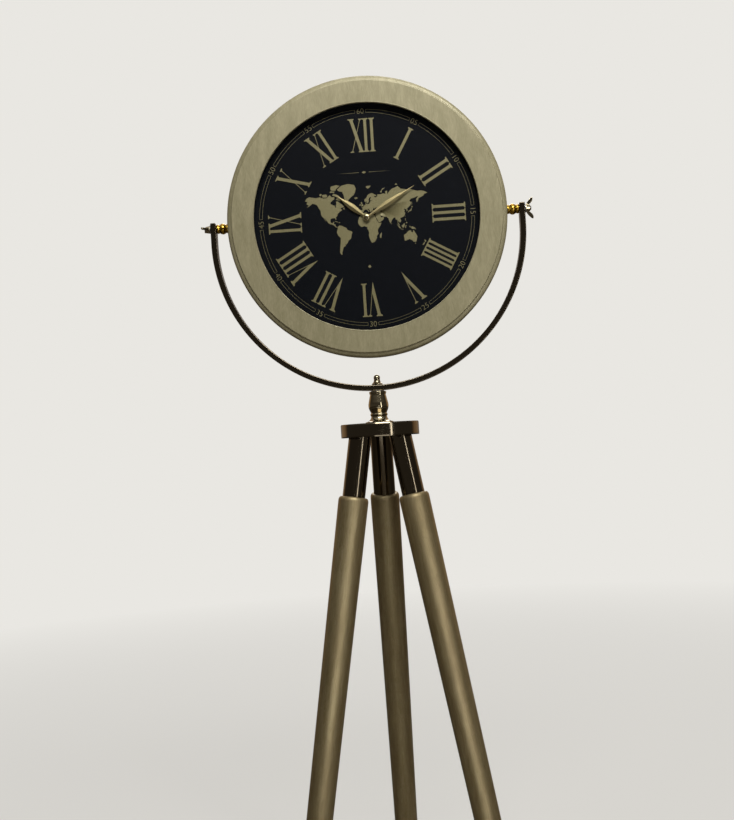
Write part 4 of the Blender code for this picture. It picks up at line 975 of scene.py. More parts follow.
# %% Coasts in degrees
LANDS = {
    "north_america": """-168,65.5 -164,69 -156,71 -145,70 -135,69 -125,70 -115,68 -105,68 -95,72
        -90,69 -82,69 -82,66 -88,64 -94,61 -94,58.5 -88,56.5 -82,55 -82,52 -79,51.5 -79,55 -77,58
        -78,62 -72,62 -66,58.5 -62,57 -56,53 -57,51.5 -66,50 -65,48.5 -61,46 -66,44 -70,43 -70,41.5
        -74,40 -76,37 -76,35 -81,31.5 -80,27 -81,25.3 -82.5,28 -84,30 -89.5,30 -94,29.5 -97.3,27.5
        -97.5,22 -95,18.5 -91,18.5 -90,21 -87,21.3 -88,16 -83.5,15 -83.5,11 -81,9 -79,9.3 -77.7,8
        -80,7.3 -83,8.3 -86,11 -88,13 -94,16 -98,16.2 -105,20 -106,23 -109.5,26.5 -113,31 -114.5,31
        -111,25.5 -110,23 -114,28 -117.3,33 -120.6,34.6 -124,40 -124,47 -128,51 -134,58 -140,60
        -147,61 -152,59 -158,56.5 -164,54.8 -158,58.5 -165,61 -161,64.3""",
    "greenland": """-73,78 -60,82 -40,83.3 -22,82 -18,78 -21,73 -25,70 -34,67 -42,62.5 -44,60
        -49,62 -53,66 -54,70 -58,75 -68,76""",
    "baffin": "-62,66.5 -65,62.5 -72,63.5 -78,65 -73,68 -80,70 -88,71 -85,73.5 -78,72.7 -70,70.5",
    "victoria": "-117,69.5 -105,69 -102,71 -106,73.3 -117,72.8",
    "banks": "-125,72 -120,71.3 -118.5,74 -124,74.3",
    "ellesmere": "-90,77.4 -78,76.9 -75,79 -64,82 -75,83 -90,82 -92,79.5",
    "devon": "-95,75 -82,74.7 -80,76 -92,76.7",
    "newfoundland": "-59,47.7 -53,46.8 -55.5,51",
    "cuba": "-84.8,22 -82,23.1 -77,21.5 -74.3,20.2 -77.5,19.9 -78,20.8",
    "hispaniola": "-74.3,18.5 -73,20 -68.5,18.6 -71.5,17.8",
    "south_america": """-77.3,8.5 -72,12 -64,10.5 -60,8 -52,5 -50,0 -44,-2.5 -38,-4 -35,-7
        -38.5,-13 -39.5,-19 -42,-23 -48.5,-26 -50,-30 -54,-34 -58,-34.5 -57,-38 -62,-39 -65,-42
        -66,-46 -69,-51 -68,-54.5 -72,-54 -75,-50 -74,-42 -73,-37 -71.5,-30 -70.3,-18.5 -76,-14
        -79.5,-8 -81,-5 -80,-2 -78.5,2 -77.4,4.5""",
    "africa": """-6,35.7 3,37 10.5,37.2 11,33.8 20,31 22,32.8 31,31.4 33.8,31 32.6,29.5 35.5,24
        37.5,19 43,11.6 51,12 47,4.5 41,-2 39,-7 40.5,-14.5 35,-20 35.5,-24 32.5,-28 28,-33 20,-34.8
        18,-32 15,-27 12,-17.5 13.5,-11 12,-5.5 9,-1 9.5,4 5,4.5 1,6 -7.5,4.5 -13,8.5 -17,14.7
        -16.5,21 -13,27.8 -9.7,31.5""",
    "madagascar": "49.3,-12 50.3,-15.5 47.5,-25 44,-24.5 44.3,-17",
    "eurasia": """-9,37 -9.3,43 -1.8,43.4 -1.2,46 -4.6,48.4 1.5,50 4,52 8.3,53.8 8.3,57
        10.5,57.6 10,54.5 14,54 19,54.4 21,57.3 24,59.2 29.5,59.8 23,60.2 21.3,61 25,65 22,65.8
        17.3,61.5 18.5,59.5 16.5,57 14.3,55.5 12.8,55.6 11,59 7,58 5,60 5.5,62 11,64.5 15,68.3 20,70
        28,71 41,67.5 40,66.3 33,66.5 37,64 44,66 43.5,68.5 54,68.5 61,69.5 68,68.5 67,72 73,72.7
        73,68 80,72.3 88,75 98,76.2 104,77.6 113,74 127,73 130,71 140,72.8 152,71 160,69.8 171,70
        180,69 190,66 180,64.8 178,62.5 170,60 163,58.5 162,55 157,51 156,57 163,62 156,61 150,59.5
        141,58.5 135.5,54.7 141,52 138,46.5 132,43 127.8,39.8 129.3,36 126.3,34.5 126.5,37.5
        125,39.7 121.5,39 121,40.8 118,39 122,37 119.3,35 121.8,31 120,26 116.5,23 110.5,21 106,19.5
        109,13 105,9 103,11 100.5,13 99.3,10 103.4,4 104,1.4 101,3 98.3,8 98.5,13 97,17 94.3,16
        91.5,22.5 87,21.5 82,16.5 80.2,13 77.5,8.2 73,17 72.7,21 70,22.5 67,25 57.5,25.6 56,27 51,28
        48,30 50,26.5 51.5,24.5 54,24.2 56.3,26 59.7,22.3 55,17.5 45,12.8 43,13 39,21 35,28 35,32
        36,36.5 30.5,36.5 27,37 26.3,39.5 29,41 35,42 41,41.3 38,44.5 39,47 35,46.3 36,45 33.5,44.5
        33,46 31,46.5 28.7,43.5 28,41.5 26,40.8 23,40.3 24,38 22.5,36.5 19.5,40 19.5,42 13.7,45.3
        12.4,44.3 14,42.5 18.4,40 16.5,39.5 16,38 15.5,40 10.5,43 8.8,44.4 3.2,43.2 3,42 0,39.5
        -2,36.8 -5.5,36.2""",
    "caspian": "47,44.5 51,46.8 53,45 51,42 54,39 53,36.8 49.5,37.5 49,41",
    "britain": """-5.5,50.2 1.3,51.3 1.6,52.8 -1.5,55 -2,57.6 -5,58.6 -5.5,56 -3,54.7 -4.5,53.2
        -4.5,51.8""",
    "ireland": "-10,51.7 -6.3,52.3 -6,54.5 -8.3,55.2 -9.8,53.5",
    "iceland": "-24,65.5 -20,63.4 -13.7,65 -16,66.5 -22,66.3",
    "svalbard": "11,79 17,76.7 24,78.5 26,80 15,80",
    "novaya_zemlya": "52,71.5 57,70.8 57,73.5 68,76.8 60,76",
    "severny_isles": "96,79 104,79.2 100,80.8",
    "honshu": """130,31.5 131.5,31.5 132,33.5 137,34.5 140,35 141,38.5 141.5,41 140,40.5 137,37
        132.5,35.3 130,33.3""",
    "hokkaido": "140,42 143,42 145.3,43.4 142,45.4 141.5,43.3",
    "sakhalin": "142,46 143.5,49.5 143,54 142,52",
    "taiwan": "120.2,23 121,22 121.8,25",
    "luzon": "120.3,16 120.5,18.4 122.2,18.4 121.7,15.5 124,13 121,13.8",
    "mindanao": "122,7.2 125.3,6 126.3,8.5 125.3,9.7 123,8.6",
    "borneo": "109.2,1.5 111,-2.8 114.5,-4 116.3,-3 117.8,1 119,5 117,7 113,3.2",
    "sumatra": "95.3,5.6 98,4.3 103.5,-0.5 106,-3 105.7,-5.8 101.5,-3 98.7,1.6",
    "java": "105.3,-6.7 108.5,-6.5 114.4,-7.7 114.3,-8.6 107,-7.6",
    "sulawesi": "119.5,-5.4 120.5,-5.4 120.7,-2.8 122.5,-4.7 121.5,-1 125,1.5 120.2,1.2 119,-3",
    "new_guinea": """131,-0.8 134,-0.9 135,-3.3 141,-2.6 147.5,-6 150.5,-10.5 146,-8.5 143,-9
        138,-8.2 137.8,-5.3 133,-4""",
    "australia": """114,-22 122,-18 126,-14.2 130,-12 136.5,-12.2 135.8,-15 140.8,-17.5
        142.3,-11 145.5,-15 149.5,-21 153.3,-27 151,-33.5 150,-37.5 146.3,-39 140.5,-38 138,-35.5
        137.5,-33 135,-34.8 131,-31.5 124,-33.5 118,-35 115.2,-34 115.5,-31""",
    "tasmania": "145,-41 148.3,-41 147,-43.5",
    "new_zealand_north": "173,-34.8 178.3,-37.8 175.5,-41.3 174,-39",
    "new_zealand_south": "172.7,-40.7 174.2,-41.9 170.8,-45.8 168,-46.6 167,-45",
    "sri_lanka": "80,9.6 81.8,7.3 80.3,6",
}

# %% [markdown]
# The coasts are turned from degrees to millimetres, and each land is raised by the thickness of the
# ink. The inland sea is cut out of its continent. The lands are joined at the end, because they are
# one print.

# %% Print the map
HUB_LONGITUDE, HUB_LATITUDE = 9.0, 26.0
MM_EAST, MM_NORTH = 0.612, 0.72


def northing(latitude):
    """How far north a latitude is drawn, in degrees of longitude: more and more towards a pole."""
    return math.degrees(1.25 * math.log(math.tan(math.pi / 4 + 0.4 * math.radians(latitude))))


def coast(name):
    """The outline of a land in mm from the hub."""
    pairs = [[float(value) for value in pair.split(",")] for pair in LANDS[name].split()]
    return [((east - HUB_LONGITUDE) * MM_EAST,
             (northing(north) - northing(HUB_LATITUDE)) * MM_NORTH) for east, north in pairs]


eurasia = raised("map_eurasia", coast("eurasia"))
combine(eurasia, flat("caspian_cut", coast("caspian"), DIAL_FRONT - INK, DIAL_FRONT + 2 * INK))
lands = [raised("map_" + name, coast(name)) for name in LANDS if name not in ("eurasia", "caspian")]
pick(eurasia)
for piece in lands:
    piece.select_set(True)
bpy.ops.object.join()
world_map = bpy.context.object
world_map.name = world_map.data.name = "world_map"
on_dial(world_map)
print("the map spans", [round(value / MM) for value in world_map.dimensions], "mm")

# %% [markdown]
# ## The hands
#
# Two lances stamped from thin brass and gold-lacquered. A fold runs down the middle of each, so
# that one half catches the light and the other falls dark. Half of a lance is two chains of points,
# the edge and the fold, with a strip bridged between them. Mirror makes the other half, and
# Solidify gives the sheet its thickness. A turned boss is joined on for the hub.

# %% Hands
HAND_SHARES = [(0.03, 0.16), (0.12, 0.20), (0.26, 0.38), (0.44, 0.50), (0.62, 0.38), (0.78, 0.17),
               (0.90, 0.07), (1.0, 0.012)]
HAND_WIDTH, HAND_SHEET, HAND_EDGE, FOLD_RISE = 11, 0.3, 0.4, 0.18
BOSS_RADIUS, BOSS_HEIGHT = 6.6, 0.7
HOUR_LENGTH, HOUR_LEVEL, HOUR_BORE, HOUR_ANGLE = 70, 18.6, 2.75, -309
MINUTE_LENGTH, MINUTE_LEVEL, MINUTE_BORE, MINUTE_ANGLE = 103, 20.3, 1.85, -60
CREASE = 5


def clock_hand(name, length, back, bore):
    """A hand that points along local Y, with the back of its boss at that height."""
    edge = [(half * HAND_WIDTH, share * length) for share, half in HAND_SHARES]
    edge = curve_through(edge, 5)
    level = back + HAND_EDGE
    fold = draw_points("fold", [(0, along, level + FOLD_RISE * half) for half, along in edge])
    leave_edit()
    hand = draw_points(name, [(half, along, level) for half, along in edge])
    leave_edit()
    pick(hand)
    fold.select_set(True)
    bpy.ops.object.join()
    freeze()
    edit()
    bpy.ops.mesh.bridge_edge_loops()
    leave_edit()
    modify(hand, "MIRROR", merge_threshold=0.01 * MM)
    edit()
    close_mesh(CREASE)
    if sum(face.normal.z for face in hand.data.polygons) < 0:
        hand.data.flip_normals()
    modify(hand, "SOLIDIFY", thickness=HAND_SHEET * MM, offset=-1)
    combine(hand, disc("boss", BOSS_RADIUS, back, back + BOSS_HEIGHT, bore, 48), "UNION")
    drill(hand, "bore_cut", bore, back - 1, back + 2, steps=48)
    shade(CREASE)
    return hand


hour_hand = clock_hand("hour_lance", HOUR_LENGTH, HOUR_LEVEL, HOUR_BORE)
fit(hour_hand, FACE @ rotated(HOUR_ANGLE), "hour", "old_gold", stamped_gold, "hour_hand")
minute_hand = clock_hand("minute_lance", MINUTE_LENGTH, MINUTE_LEVEL, MINUTE_BORE)
fit(minute_hand, FACE @ rotated(MINUTE_ANGLE), "minute", "old_gold", stamped_gold, "minute_hand")
print("hands reach", round(hour_hand.dimensions.length / MM), "and",
      round(minute_hand.dimensions.length / MM), "mm")

# %% [markdown]
# A small domed cap closes the hub of the minute hand. It is turned in pale brass, lighter than the
# hands.

# %% Hand cap
CAP_RADIUS, CAP_DOME = 5, 1.4
CAP_BACK, CAP_SEAT, CAP_RIM = 21.3, 22.35, 22.0

cap_profile = dome((0, CAP_RIM), CAP_RADIUS, CAP_DOME, 9)
cap_profile += [(CAP_RADIUS, CAP_BACK + 0.2), (CAP_RADIUS - 0.2, CAP_BACK), (MINUTE_BORE, CAP_BACK),
                (MINUTE_BORE, CAP_SEAT), (0, CAP_SEAT)]
hand_cap = turned("hand_cap_dome", cap_profile, 64)
fit(hand_cap, FACE, "minute", "brass", pale_brass, "hand_cap")
print("cap", round(2 * CAP_RADIUS), "mm across")

# %% [markdown]
# ## The yoke
#
# One flat bar of 10 by 20 mm, bent to a half circle, with straight ends. Its section is a small
# plane, which spin carries round the half circle. The two end faces are then pulled up past the
# pivots, and a bevel breaks the edges, because the thin bright line along the front edge is what
# shows that the bar is polished. A polished bar shows every facet of its bend, so the spin takes
# 240 steps, and its flats get even normals at the end.

# %% Bend the bar
YOKE_INNER, BAR_THICK, BAR_DEEP = 273, 10, 20
ARC_HEIGHT, YOKE_TOP = hub.z / MM - 27, hub.z / MM + 10
YOKE_STEPS = 240

deselect()
bpy.ops.mesh.primitive_plane_add(
    size=1, location=((YOKE_INNER + BAR_THICK / 2) * MM, 0, ARC_HEIGHT * MM))
yoke = bpy.context.object
yoke.name = yoke.data.name = "yoke_bent_bar"
bpy.ops.object.mode_set(mode="EDIT")
bpy.ops.transform.resize(value=(BAR_THICK * MM, BAR_DEEP * MM, 1))
bpy.ops.mesh.spin(steps=YOKE_STEPS, angle=math.pi, center=(0, 0, ARC_HEIGHT * MM), axis=(0, -1, 0))
leave_edit()
print("bent bar", len(yoke.data.polygons), "faces")

# %% [markdown]
# The two end faces are found by the way they look and by their height. The holes are cut after the
# bevel, so that their own edges stay crisp.

# %% Raise the ends and finish the bar
STUD_BORE, ROD_BORE = 4.3, 5.3
CUT_OVER = 5

for face in yoke.data.polygons:
    centre = yoke.matrix_world @ face.center
    face.select = abs(face.normal.z) > 0.99 and abs(centre.z - ARC_HEIGHT * MM) < 0.1 * MM
bpy.ops.object.mode_set(mode="EDIT")
bpy.ops.mesh.select_mode(type="FACE")
raise_by(YOKE_TOP - ARC_HEIGHT)
bpy.ops.mesh.select_mode(type="VERT")
close_mesh()
freeze()
soften(yoke, 1.5, 4)
bar_start, bar_end = YOKE_INNER - CUT_OVER, YOKE_INNER + BAR_THICK + CUT_OVER
for side in SIDES:
    drill(yoke, "pivot_cut", STUD_BORE, bar_start, bar_end, STAND.inverted() @ pivot(side))
drill(yoke, "stem_cut", ROD_BORE, ARC_HEIGHT - bar_end, ARC_HEIGHT - bar_start)
shade(keep=False)
modify(yoke, "WEIGHTED_NORMAL", keep_sharp=True)
fit(yoke, STAND, "yoke", "black_nickel", black_nickel, "yoke_bar")
print("yoke", [round(value / MM) for value in yoke.dimensions], "mm")

# %% [markdown]
# ## The pivots
#
# At each side a threaded stud runs from the case through a turned brass spacer and the yoke, and a
# wing nut clamps it. The spacer is three beads in a row.

# %% Spacers, studs and washers
BEADS_LOW, BEADS_HIGH, BEADS_END = 250.3, 272.7, 7.2
BEADS = [(0.985, 0.79, 7.5, 8.3, 8), (0.76, 0.24, 7.4, 9.8, 16), (0.21, 0.015, 7.5, 8.3, 8)]
STUD_START, STUD_END, STUD_RADIUS, STUD_TIP = 226, 294.8, 4.0, 3.6
THREAD_START, THREAD_PITCH, THREAD_TURNS, THREAD_ROOT = 284, 1.25, 8, 3.55
THREAD_FORM = [(THREAD_ROOT, 0.35), (THREAD_ROOT, 0.55), (STUD_RADIUS, 0.95), (STUD_RADIUS, 1.15)]
WASHER_RADIUS, WASHER_LOW, WASHER_HIGH = 8.5, 283.3, 284.5


def bead(start, end, base, crown, steps=10):
    """Half-round points between two heights."""
    return [(base + (crown - base) * math.sin(math.pi * step / steps),
             start + (end - start) * step / steps) for step in range(steps + 1)]


def between(low, high, share):
    return low + share * (high - low)


bead_profile = [(STUD_BORE, BEADS_HIGH), (BEADS_END, BEADS_HIGH)]
for start, end, base, crown, steps in BEADS:
    bead_profile += [(radius, between(BEADS_LOW, BEADS_HIGH, share))
                     for radius, share in bead(start, end, base, crown, steps)]
bead_profile += [(BEADS_END, BEADS_LOW), (STUD_BORE, BEADS_LOW)]

stud_profile = [(0, STUD_START), (STUD_TIP, STUD_START), (STUD_RADIUS, STUD_START + 0.4),
                (STUD_RADIUS, THREAD_START)]
for index in range(THREAD_TURNS):
    ridge = THREAD_START + index * THREAD_PITCH
    stud_profile += [(radius, ridge + height) for radius, height in THREAD_FORM]
stud_profile += [(STUD_TIP, STUD_END - 0.4), (STUD_TIP - 0.4, STUD_END), (0, STUD_END)]

for side in SIDES:
    beads = turned("spacer_beads_" + side, bead_profile, 64)
    fit(beads, pivot(side), "clock", "brass", polished_brass, "pivot_spacer_" + side)
    stud = turned("threaded_stud_" + side, stud_profile, 40)
    fit(stud, pivot(side), "clock", "zinc_steel", zinc_plate, "pivot_stud_" + side)
    washer = disc("clamp_washer_" + side, WASHER_RADIUS, WASHER_LOW, WASHER_HIGH, STUD_BORE, 64)
    fit(washer, pivot(side), "clock", "zinc_steel", zinc_plate, "pivot_washer_" + side)
print("spacers", round(BEADS_HIGH - BEADS_LOW, 1), "mm long")

# %% [markdown]
# The wing nut is a casting: its ears run softly into the hub. Joined solids give hard corners
# there, so the joined mesh is remeshed at 0.4 mm and smoothed, as a casting would be.

# %% Wing nuts
WING_BASE, WING_HUB, WING_HALF, WING_RISE, WING_THICK = 284.8, 8, 19, 13.5, 3.2
WING_HUB_TOP, WING_HUB_FOOT = 5.65, 7
EAR_SHARES = [(0.10, 0.12), (0.38, 0.10), (0.62, 0.30), (0.88, 0.62), (1.00, 0.86), (0.97, 0.98),
              (0.82, 1.00), (0.60, 0.88), (0.42, 0.64), (0.30, 0.46)]
CASTING_GRAIN = 0.4


def wing_nut(name):
    """Hub and ears along local Z, the ears spread along local X."""
    ear = [(WING_HALF * out, WING_RISE * up) for out, up in curve_through(EAR_SHARES, 3)]
    nut = flat(name, ear + [(-x, y) for x, y in reversed(ear)], -WING_THICK / 2, WING_THICK / 2)
    nut.matrix_world = moved(0, 0, WING_BASE) @ rotated(90, "X") @ nut.matrix_world
    pick(nut)
    freeze()
    hub_profile = [(0, WING_BASE + WING_HUB), (WING_HUB_TOP, WING_BASE + WING_HUB),
                   (WING_HUB_FOOT, WING_BASE), (0, WING_BASE)]
    combine(nut, turned("wing_hub", hub_profile, 64), "UNION")
    modify(nut, "REMESH", mode="VOXEL", voxel_size=CASTING_GRAIN * MM)
    modify(nut, "SMOOTH", factor=0.5, iterations=6)
    drill(nut, "nut_bore", STUD_BORE, WING_BASE - 2, WING_BASE + 12, steps=40)
    shade(40)
    return nut


first_wing = wing_nut("wing_casting_right")
second_wing = copy_of(first_wing, "wing_casting_left")
fit(first_wing, pivot("right"), "wing_right", "zinc_steel", bright_nickel, "wing_nut_right")
fit(second_wing, pivot("left") @ rotated(90), "wing_left", "zinc_steel", bright_nickel,
    "wing_nut_left")
print("wing nut", len(first_wing.data.polygons), "faces")

# %% [markdown]
# ## Stem, finial and plate
#
# The stem is a turned baluster: a flared foot, a bead, a vase and a collar. Smooth curves run
# between its crisp edges. Its points are radii in mm at shares of its height.

# %% Stem
STEM_BASE, STEM_HEIGHT = plate_top + GAP, 56
FLANGE = [(ROD_BORE, 0), (24.6, 0), (25.0, 0.008), (25.0, 0.022)]
FLARE = [(24.4, 0.032), (21.2, 0.046), (18.0, 0.08), (15.6, 0.13), (14.4, 0.18), (14.2, 0.205)]
RING_LOW, RING_HIGH, RING_BASE, RING_CROWN = 0.215, 0.305, 14.3, 15.6
VASE = [(14.2, 0.32), (14.8, 0.345), (16.2, 0.40), (17.6, 0.47), (18.1, 0.55), (17.6, 0.63),
        (16.5, 0.72), (15.4, 0.81), (14.5, 0.88), (14.2, 0.915)]
COLLAR = [(15.0, 0.925), (15.3, 0.94), (15.3, 0.985), (15.0, 1.0), (ROD_BORE, 1.0)]


def on_stem(points):
    return [(radius, STEM_BASE + share * STEM_HEIGHT) for radius, share in points]


stem_ring = bead(RING_LOW, RING_HIGH, RING_BASE, RING_CROWN)
stem_profile = FLANGE + curve_through(FLARE, 5) + stem_ring + curve_through(VASE, 5) + COLLAR
stem = turned("stem_baluster", on_stem(stem_profile))
fit(stem, STAND, "stand", "polished_nickel", bright_nickel, "stem_column")
print("stem from", round(STEM_BASE, 1), "to", round(STEM_BASE + STEM_HEIGHT, 1), "mm")

# %% [markdown]
# The acorn nut on top of the yoke bar is the same kind of work, smaller.

# %% Finial and swivel washer
BALL = 5.8
WAIST = [(5.6, 8.4), (6.1, 6.0), (7.6, 3.6), (9.3, 2.3)]
SKIRT = [(9.7, 1.9), (9.7, 0.4), (9.3, 0), (ROD_BORE, 0), (ROD_BORE, 10), (0, 10)]
SWIVEL_RADIUS = 12

finial_low, finial_top = heights("finial_nut")
finial_profile = arc((0, finial_top - BALL), BALL, 90, -22, 14)
for radius, height in curve_through(WAIST, 4) + SKIRT:
    finial_profile.append((radius, finial_low + height))
finial = turned("finial_acorn", finial_profile, 64)
fit(finial, STAND, "stand", "polished_nickel", bright_nickel, "finial_nut")
swivel = disc("swivel_disc", SWIVEL_RADIUS, *heights("swivel_washer"), ROD_BORE, 64)
fit(swivel, STAND, "stand", "zinc_steel", zinc_plate, "swivel_washer")
print("finial", round(finial_top - finial_low, 1), "mm high")

# %% [markdown]
# The plate is 140 mm across and 24 mm thick, with a recess underneath for the stem's nut. Its edges
# have steep chamfers 2 mm high, 0.9 mm deep above and 0.32 mm below: such a flat mirrors the high
# or the low lamp as one even bright line, which a rounding would spread out.

# %% Plate
PLATE_RADIUS, RECESS_RADIUS, RECESS_TOP = 70, 10.8, plate_bottom + 8.2
CHAMFER_HIGH, UPPER_DEEP, LOWER_DEEP = 2, 0.9, 0.32
ROD_CUT_START, ROD_CUT_END = -4, 15.3
PLATE_CREASE = 6

plate_profile = [(ROD_BORE, plate_top), (PLATE_RADIUS - UPPER_DEEP, plate_top),
                 (PLATE_RADIUS, plate_top - CHAMFER_HIGH),
                 (PLATE_RADIUS, plate_bottom + CHAMFER_HIGH),
                 (PLATE_RADIUS - LOWER_DEEP, plate_bottom), (RECESS_RADIUS, plate_bottom),
                 (RECESS_RADIUS, RECESS_TOP), (ROD_BORE, RECESS_TOP)]
plate = turned("head_plate_turned", plate_profile, 160, PLATE_CREASE)
for heading in LEG_HEADINGS.values():
    drill(plate, "rod_cut", ROD_BORE, ROD_CUT_START, ROD_CUT_END, STAND.inverted() @ hip(heading))
shade(PLATE_CREASE)
fit(plate, STAND, "stand", "black_nickel", black_nickel, "head_plate")
print("plate", [round(value / MM) for value in plate.dimensions], "mm")

# %% [markdown]
# ## The legs
#
# Each leg is a polished tube under the plate, then a turned wooden leg whose shoulder is rounded
# over. Both lean outwards by 10.7 degrees. They are turned upright and longer than needed, leaned
# into place, and cut level: the tube under the plate, the wood above its rubber foot.

# %% Legs, sleeves and feet
TUBE_LENGTH, TUBE_OUTER, TUBE_INNER, TUBE_EDGE, TUBE_OVER = 106, 20, 18.5, 0.4, 20
TUBE_CLEARANCE = 0.05
TOP_RADIUS, FOOT_RADIUS, LEG_END, TAPER_STEPS = 26.6, 20.2, 973, 12
SHOULDER_WIDTH, SHOULDER_HEIGHT, ROD_DEPTH = 4.5, 7.5, 40.3
PAD_HEIGHT, PAD_RADIUS, PAD_ROUNDING = 8, 18.5, 2


def trim(piece, height, keep_above):
    """Cut the placed piece at that height above the floor and close it."""
    pick(piece)
    edit()
    bpy.ops.mesh.bisect(plane_co=(0, 0, height * MM), plane_no=(0, 0, 1), use_fill=True,
                        clear_inner=keep_above, clear_outer=not keep_above)
    close_mesh()


wood_top = -TUBE_LENGTH - GAP
taper_top = wood_top - SHOULDER_HEIGHT
shares = [step / TAPER_STEPS for step in range(1, TAPER_STEPS + 1)]
taper = [(between(TOP_RADIUS, FOOT_RADIUS, share), between(taper_top, -LEG_END, share))
         for share in shares]
wood_profile = [(0, wood_top - ROD_DEPTH), (ROD_BORE, wood_top - ROD_DEPTH), (ROD_BORE, wood_top)]
wood_profile += dome((TOP_RADIUS - SHOULDER_WIDTH, taper_top), SHOULDER_WIDTH, SHOULDER_HEIGHT, 10)
wood_profile += taper + [(0, -LEG_END)]
tube_profile = [(TUBE_OUTER, TUBE_OVER), (TUBE_OUTER, -TUBE_LENGTH + TUBE_EDGE),
                (TUBE_OUTER - TUBE_EDGE, -TUBE_LENGTH), (TUBE_INNER, -TUBE_LENGTH),
                (TUBE_INNER, TUBE_OVER)]
pad_corner = PAD_RADIUS - PAD_ROUNDING
pad_profile = [(0, PAD_HEIGHT)]
pad_profile += arc((pad_corner, PAD_HEIGHT - PAD_ROUNDING), PAD_ROUNDING, 90, 0, 5)
pad_profile += arc((pad_corner, PAD_ROUNDING), PAD_ROUNDING, 0, -90, 5) + [(0, 0)]

for side, heading in LEG_HEADINGS.items():
    wood = turned("turned_leg_" + side, wood_profile)
    fit(wood, hip(heading), "stand", "champagne_leg", leg_lacquer, "wood_leg_" + side)
    trim(wood, PAD_HEIGHT + GAP, True)
    tube = turned("sleeve_tube_" + side, tube_profile)
    fit(tube, hip(heading), "stand", "black_nickel", black_nickel, "leg_sleeve_" + side)
    trim(tube, plate_bottom - TUBE_CLEARANCE, False)
    low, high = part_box("foot_pad_" + side)
    pad = turned("rubber_foot_" + side, pad_profile, 64)
    pad_place = Matrix.Translation(((low.x + high.x) / 2, (low.y + high.y) / 2, 0))
    fit(pad, pad_place, "stand", "rubber", foot_rubber, "foot_pad_" + side)
print("legs cut at", PAD_HEIGHT + GAP, "mm above the floor")

# %% [markdown]
# ## The back
#
# A hardboard panel closes the case. It is a turned disc with a window cut out for the movement,
# whose outline is four corner arcs in a row.

# %% Back panel
PANEL_RADIUS, PANEL_BACK, PANEL_FACE = 240, -13.2, -10
WINDOW_CORNERS = [(45, 29, 0), (-45, 29, 90), (-45, -41, 180), (45, -41, 270)]
WINDOW_ROUNDING = 10
PANEL_CUT_END = -5

panel = disc("hardboard_back", PANEL_RADIUS, PANEL_BACK, PANEL_FACE)
window = []
for corner_x, corner_y, start in WINDOW_CORNERS:
    window += arc((corner_x, corner_y), WINDOW_ROUNDING, start, start + 90, 6)
combine(panel, flat("window_cut", window, CUT_START, PANEL_CUT_END))
for heading in SCREW_HEADINGS:
    drill(panel, "screw_cut", SCREW_HOLE, CUT_START, PANEL_CUT_END, screw_place(heading), 16)
shade()
fit(panel, FACE, "clock", "hardboard", hardboard, "back_panel")
print("panel", len(panel.data.polygons), "faces")

# %% [markdown]
# Six pan-head screws hold the panel. The head is turned, and its cross recess is two crossed slots.
# One screw is modelled and copied, and each copy is turned a little further, because nobody lines
# up screws.

# %% Screws
HEAD_RADIUS, HEAD_SEAT, HEAD_SIDE, HEAD_DOME = 4.2, -13.5, 0.5, 1.5
SHANK_RADIUS, SHANK_END, TIP_RADIUS, TIP_END = 2, 21.5, 0.8, 22.5
CROSS_LENGTH, CROSS_WIDTH, CROSS_DEPTH = 4.6, 0.9, 1.1

screw_profile = dome((0, HEAD_SEAT - HEAD_SIDE), HEAD_RADIUS, -HEAD_DOME, 6)
screw_profile += [(HEAD_RADIUS, HEAD_SEAT), (SHANK_RADIUS, HEAD_SEAT), (SHANK_RADIUS, SHANK_END),
                  (TIP_RADIUS, TIP_END), (0, TIP_END)]
screw = turned("pan_head_screw_1", screw_profile, 32)
head_back = HEAD_SEAT - HEAD_SIDE - HEAD_DOME
for x, y in ((CROSS_LENGTH / 2, CROSS_WIDTH / 2), (CROSS_WIDTH / 2, CROSS_LENGTH / 2)):
    outline = [(x, y), (-x, y), (-x, -y), (x, -y)]
    combine(screw, flat("cross_cut", outline, head_back - 1, head_back + CROSS_DEPTH))
shade()
screws = [screw] + [copy_of(screw, "pan_head_screw_" + str(index)) for index in range(2, 7)]
for index, (piece, heading) in enumerate(zip(screws, SCREW_HEADINGS)):
    place = FACE @ screw_place(heading) @ rotated(17 * index)
    fit(piece, place, "clock", "zinc_steel", zinc_plate, "case_screw_" + str(index + 1))
print(len(screws), "screws")

# %% [markdown]
# ## The movement
#
# The solids of the movement, and the nut and washer under the plate, are right as they are, but
# their edges are sharp. So the ones that show are copied from the frame, cleaned and given the
# small roundings of moulded or stamped pieces, in mm.

# %% Rounded pieces
ROUNDED = {
    "movement_case": (0.35, "clock", "black_plastic", black_abs),
    "movement_cover": (0.3, "clock", "white_plastic", white_abs),
    "set_knob": (0.2, "setting", "white_plastic", white_abs),
    "mount_nut": (0.2, "clock", "brass", polished_brass),
    "stem_nut": (0.4, "stand", "zinc_steel", zinc_plate),
    "stem_washer": (0.3, "stand", "zinc_steel", zinc_plate),
    "battery_contact_plus": (0.08, "clock", "polished_nickel", bright_nickel),
    "battery_contact_minus": (0.08, "clock", "polished_nickel", bright_nickel),
}

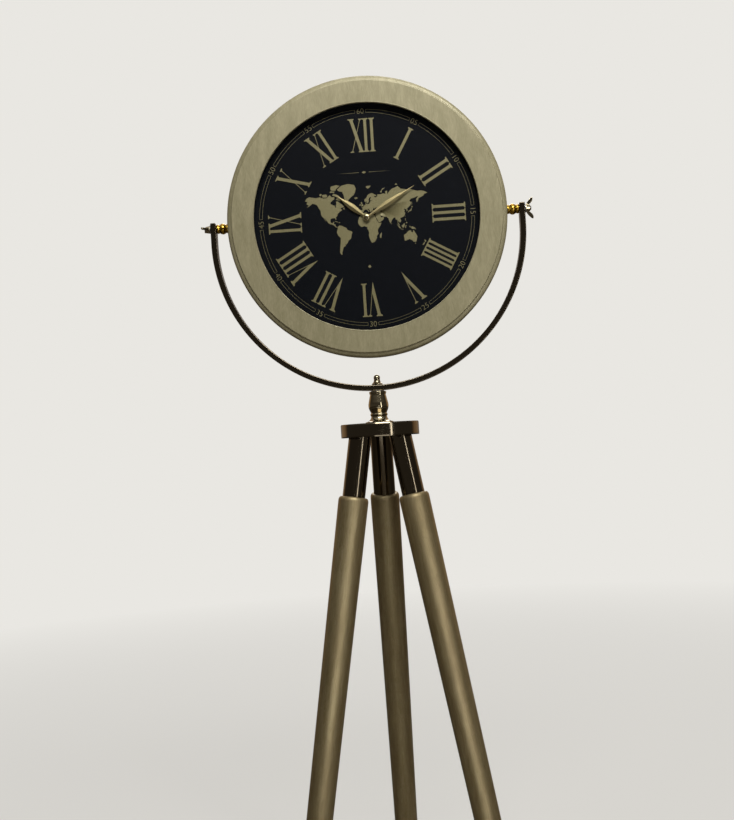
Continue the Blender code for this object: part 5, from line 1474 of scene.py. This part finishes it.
for node, (rounding, body, slot, material) in ROUNDED.items():
    piece = copy_of(frame["nodes"][node], node + "_rounded")
    piece.parent = None
    for key in [key for key in piece.keys() if key.startswith("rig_")]:
        del piece[key]
    pick(piece)
    edit()
    bpy.ops.mesh.remove_doubles(threshold=0.01 * MM)
    bpy.ops.mesh.dissolve_limited(angle_limit=math.radians(2))
    leave_edit()
    soften(piece, rounding)
    fit(piece, Matrix.Identity(4), body, slot, material, node)
print("rounded:", ", ".join(ROUNDED))

# %% [markdown]
# The movement runs on one AA cell: a pin, a shoulder that the printed film is shrunk over, and a
# flat end. It is turned upright and then laid across the movement.

# %% Battery
CELL_RADIUS, CELL_HALF, CELL_SHOULDER, CELL_ROUNDING = 6.9, 25.25, 24.05, 0.5
PIN_RADIUS, WRAP_RADIUS = 2.7, 6.2
CELL_Y, CELL_DEPTH = -24.65, 3.5

cell_corner = CELL_RADIUS - CELL_ROUNDING
cell_profile = [(0, CELL_HALF), (PIN_RADIUS - 0.3, CELL_HALF), (PIN_RADIUS, CELL_HALF - 0.3),
                (PIN_RADIUS, CELL_SHOULDER), (WRAP_RADIUS, CELL_SHOULDER)]
cell_profile += arc((cell_corner, CELL_SHOULDER - CELL_ROUNDING), CELL_ROUNDING, 90, 0, 4)
cell_profile += arc((cell_corner, CELL_ROUNDING - CELL_HALF), CELL_ROUNDING, 0, -90, 4)
cell_profile.append((0, -CELL_HALF))
cell_place = FACE @ moved(0, CELL_Y, CELL_DEPTH) @ rotated(90, "Y")
cell = turned("dry_cell", cell_profile, 64)
fit(cell, cell_place, "clock", "battery_wrap", battery_film, "battery")
print("battery", 2 * CELL_HALF, "mm long")

# %% [markdown]
# The gears, the rods, the coil and other pieces that hardly show keep their own meshes and only get
# their materials.

# %% Pieces that keep their meshes
KEPT = {
    zinc_plate: ["stator_plate", "leg_rod_right", "leg_rod_left", "leg_rod_rear", "stem_rod"],
    polished_brass: ["case_insert_right", "case_insert_left", "minute_arbor", "hour_wheel",
                     "reverse_wheel"],
    drawn_copper: ["drive_coil"],
    circuit_laminate: ["circuit_board"],
    bright_nickel: ["quartz_crystal"],
    foot_rubber: ["mount_washer"],
}
for material, names in KEPT.items():
    for name in names:
        for material_slot in frame["nodes"][name].material_slots:
            material_slot.material = material
print("dressed:", sum(len(names) for names in KEPT.values()), "pieces")
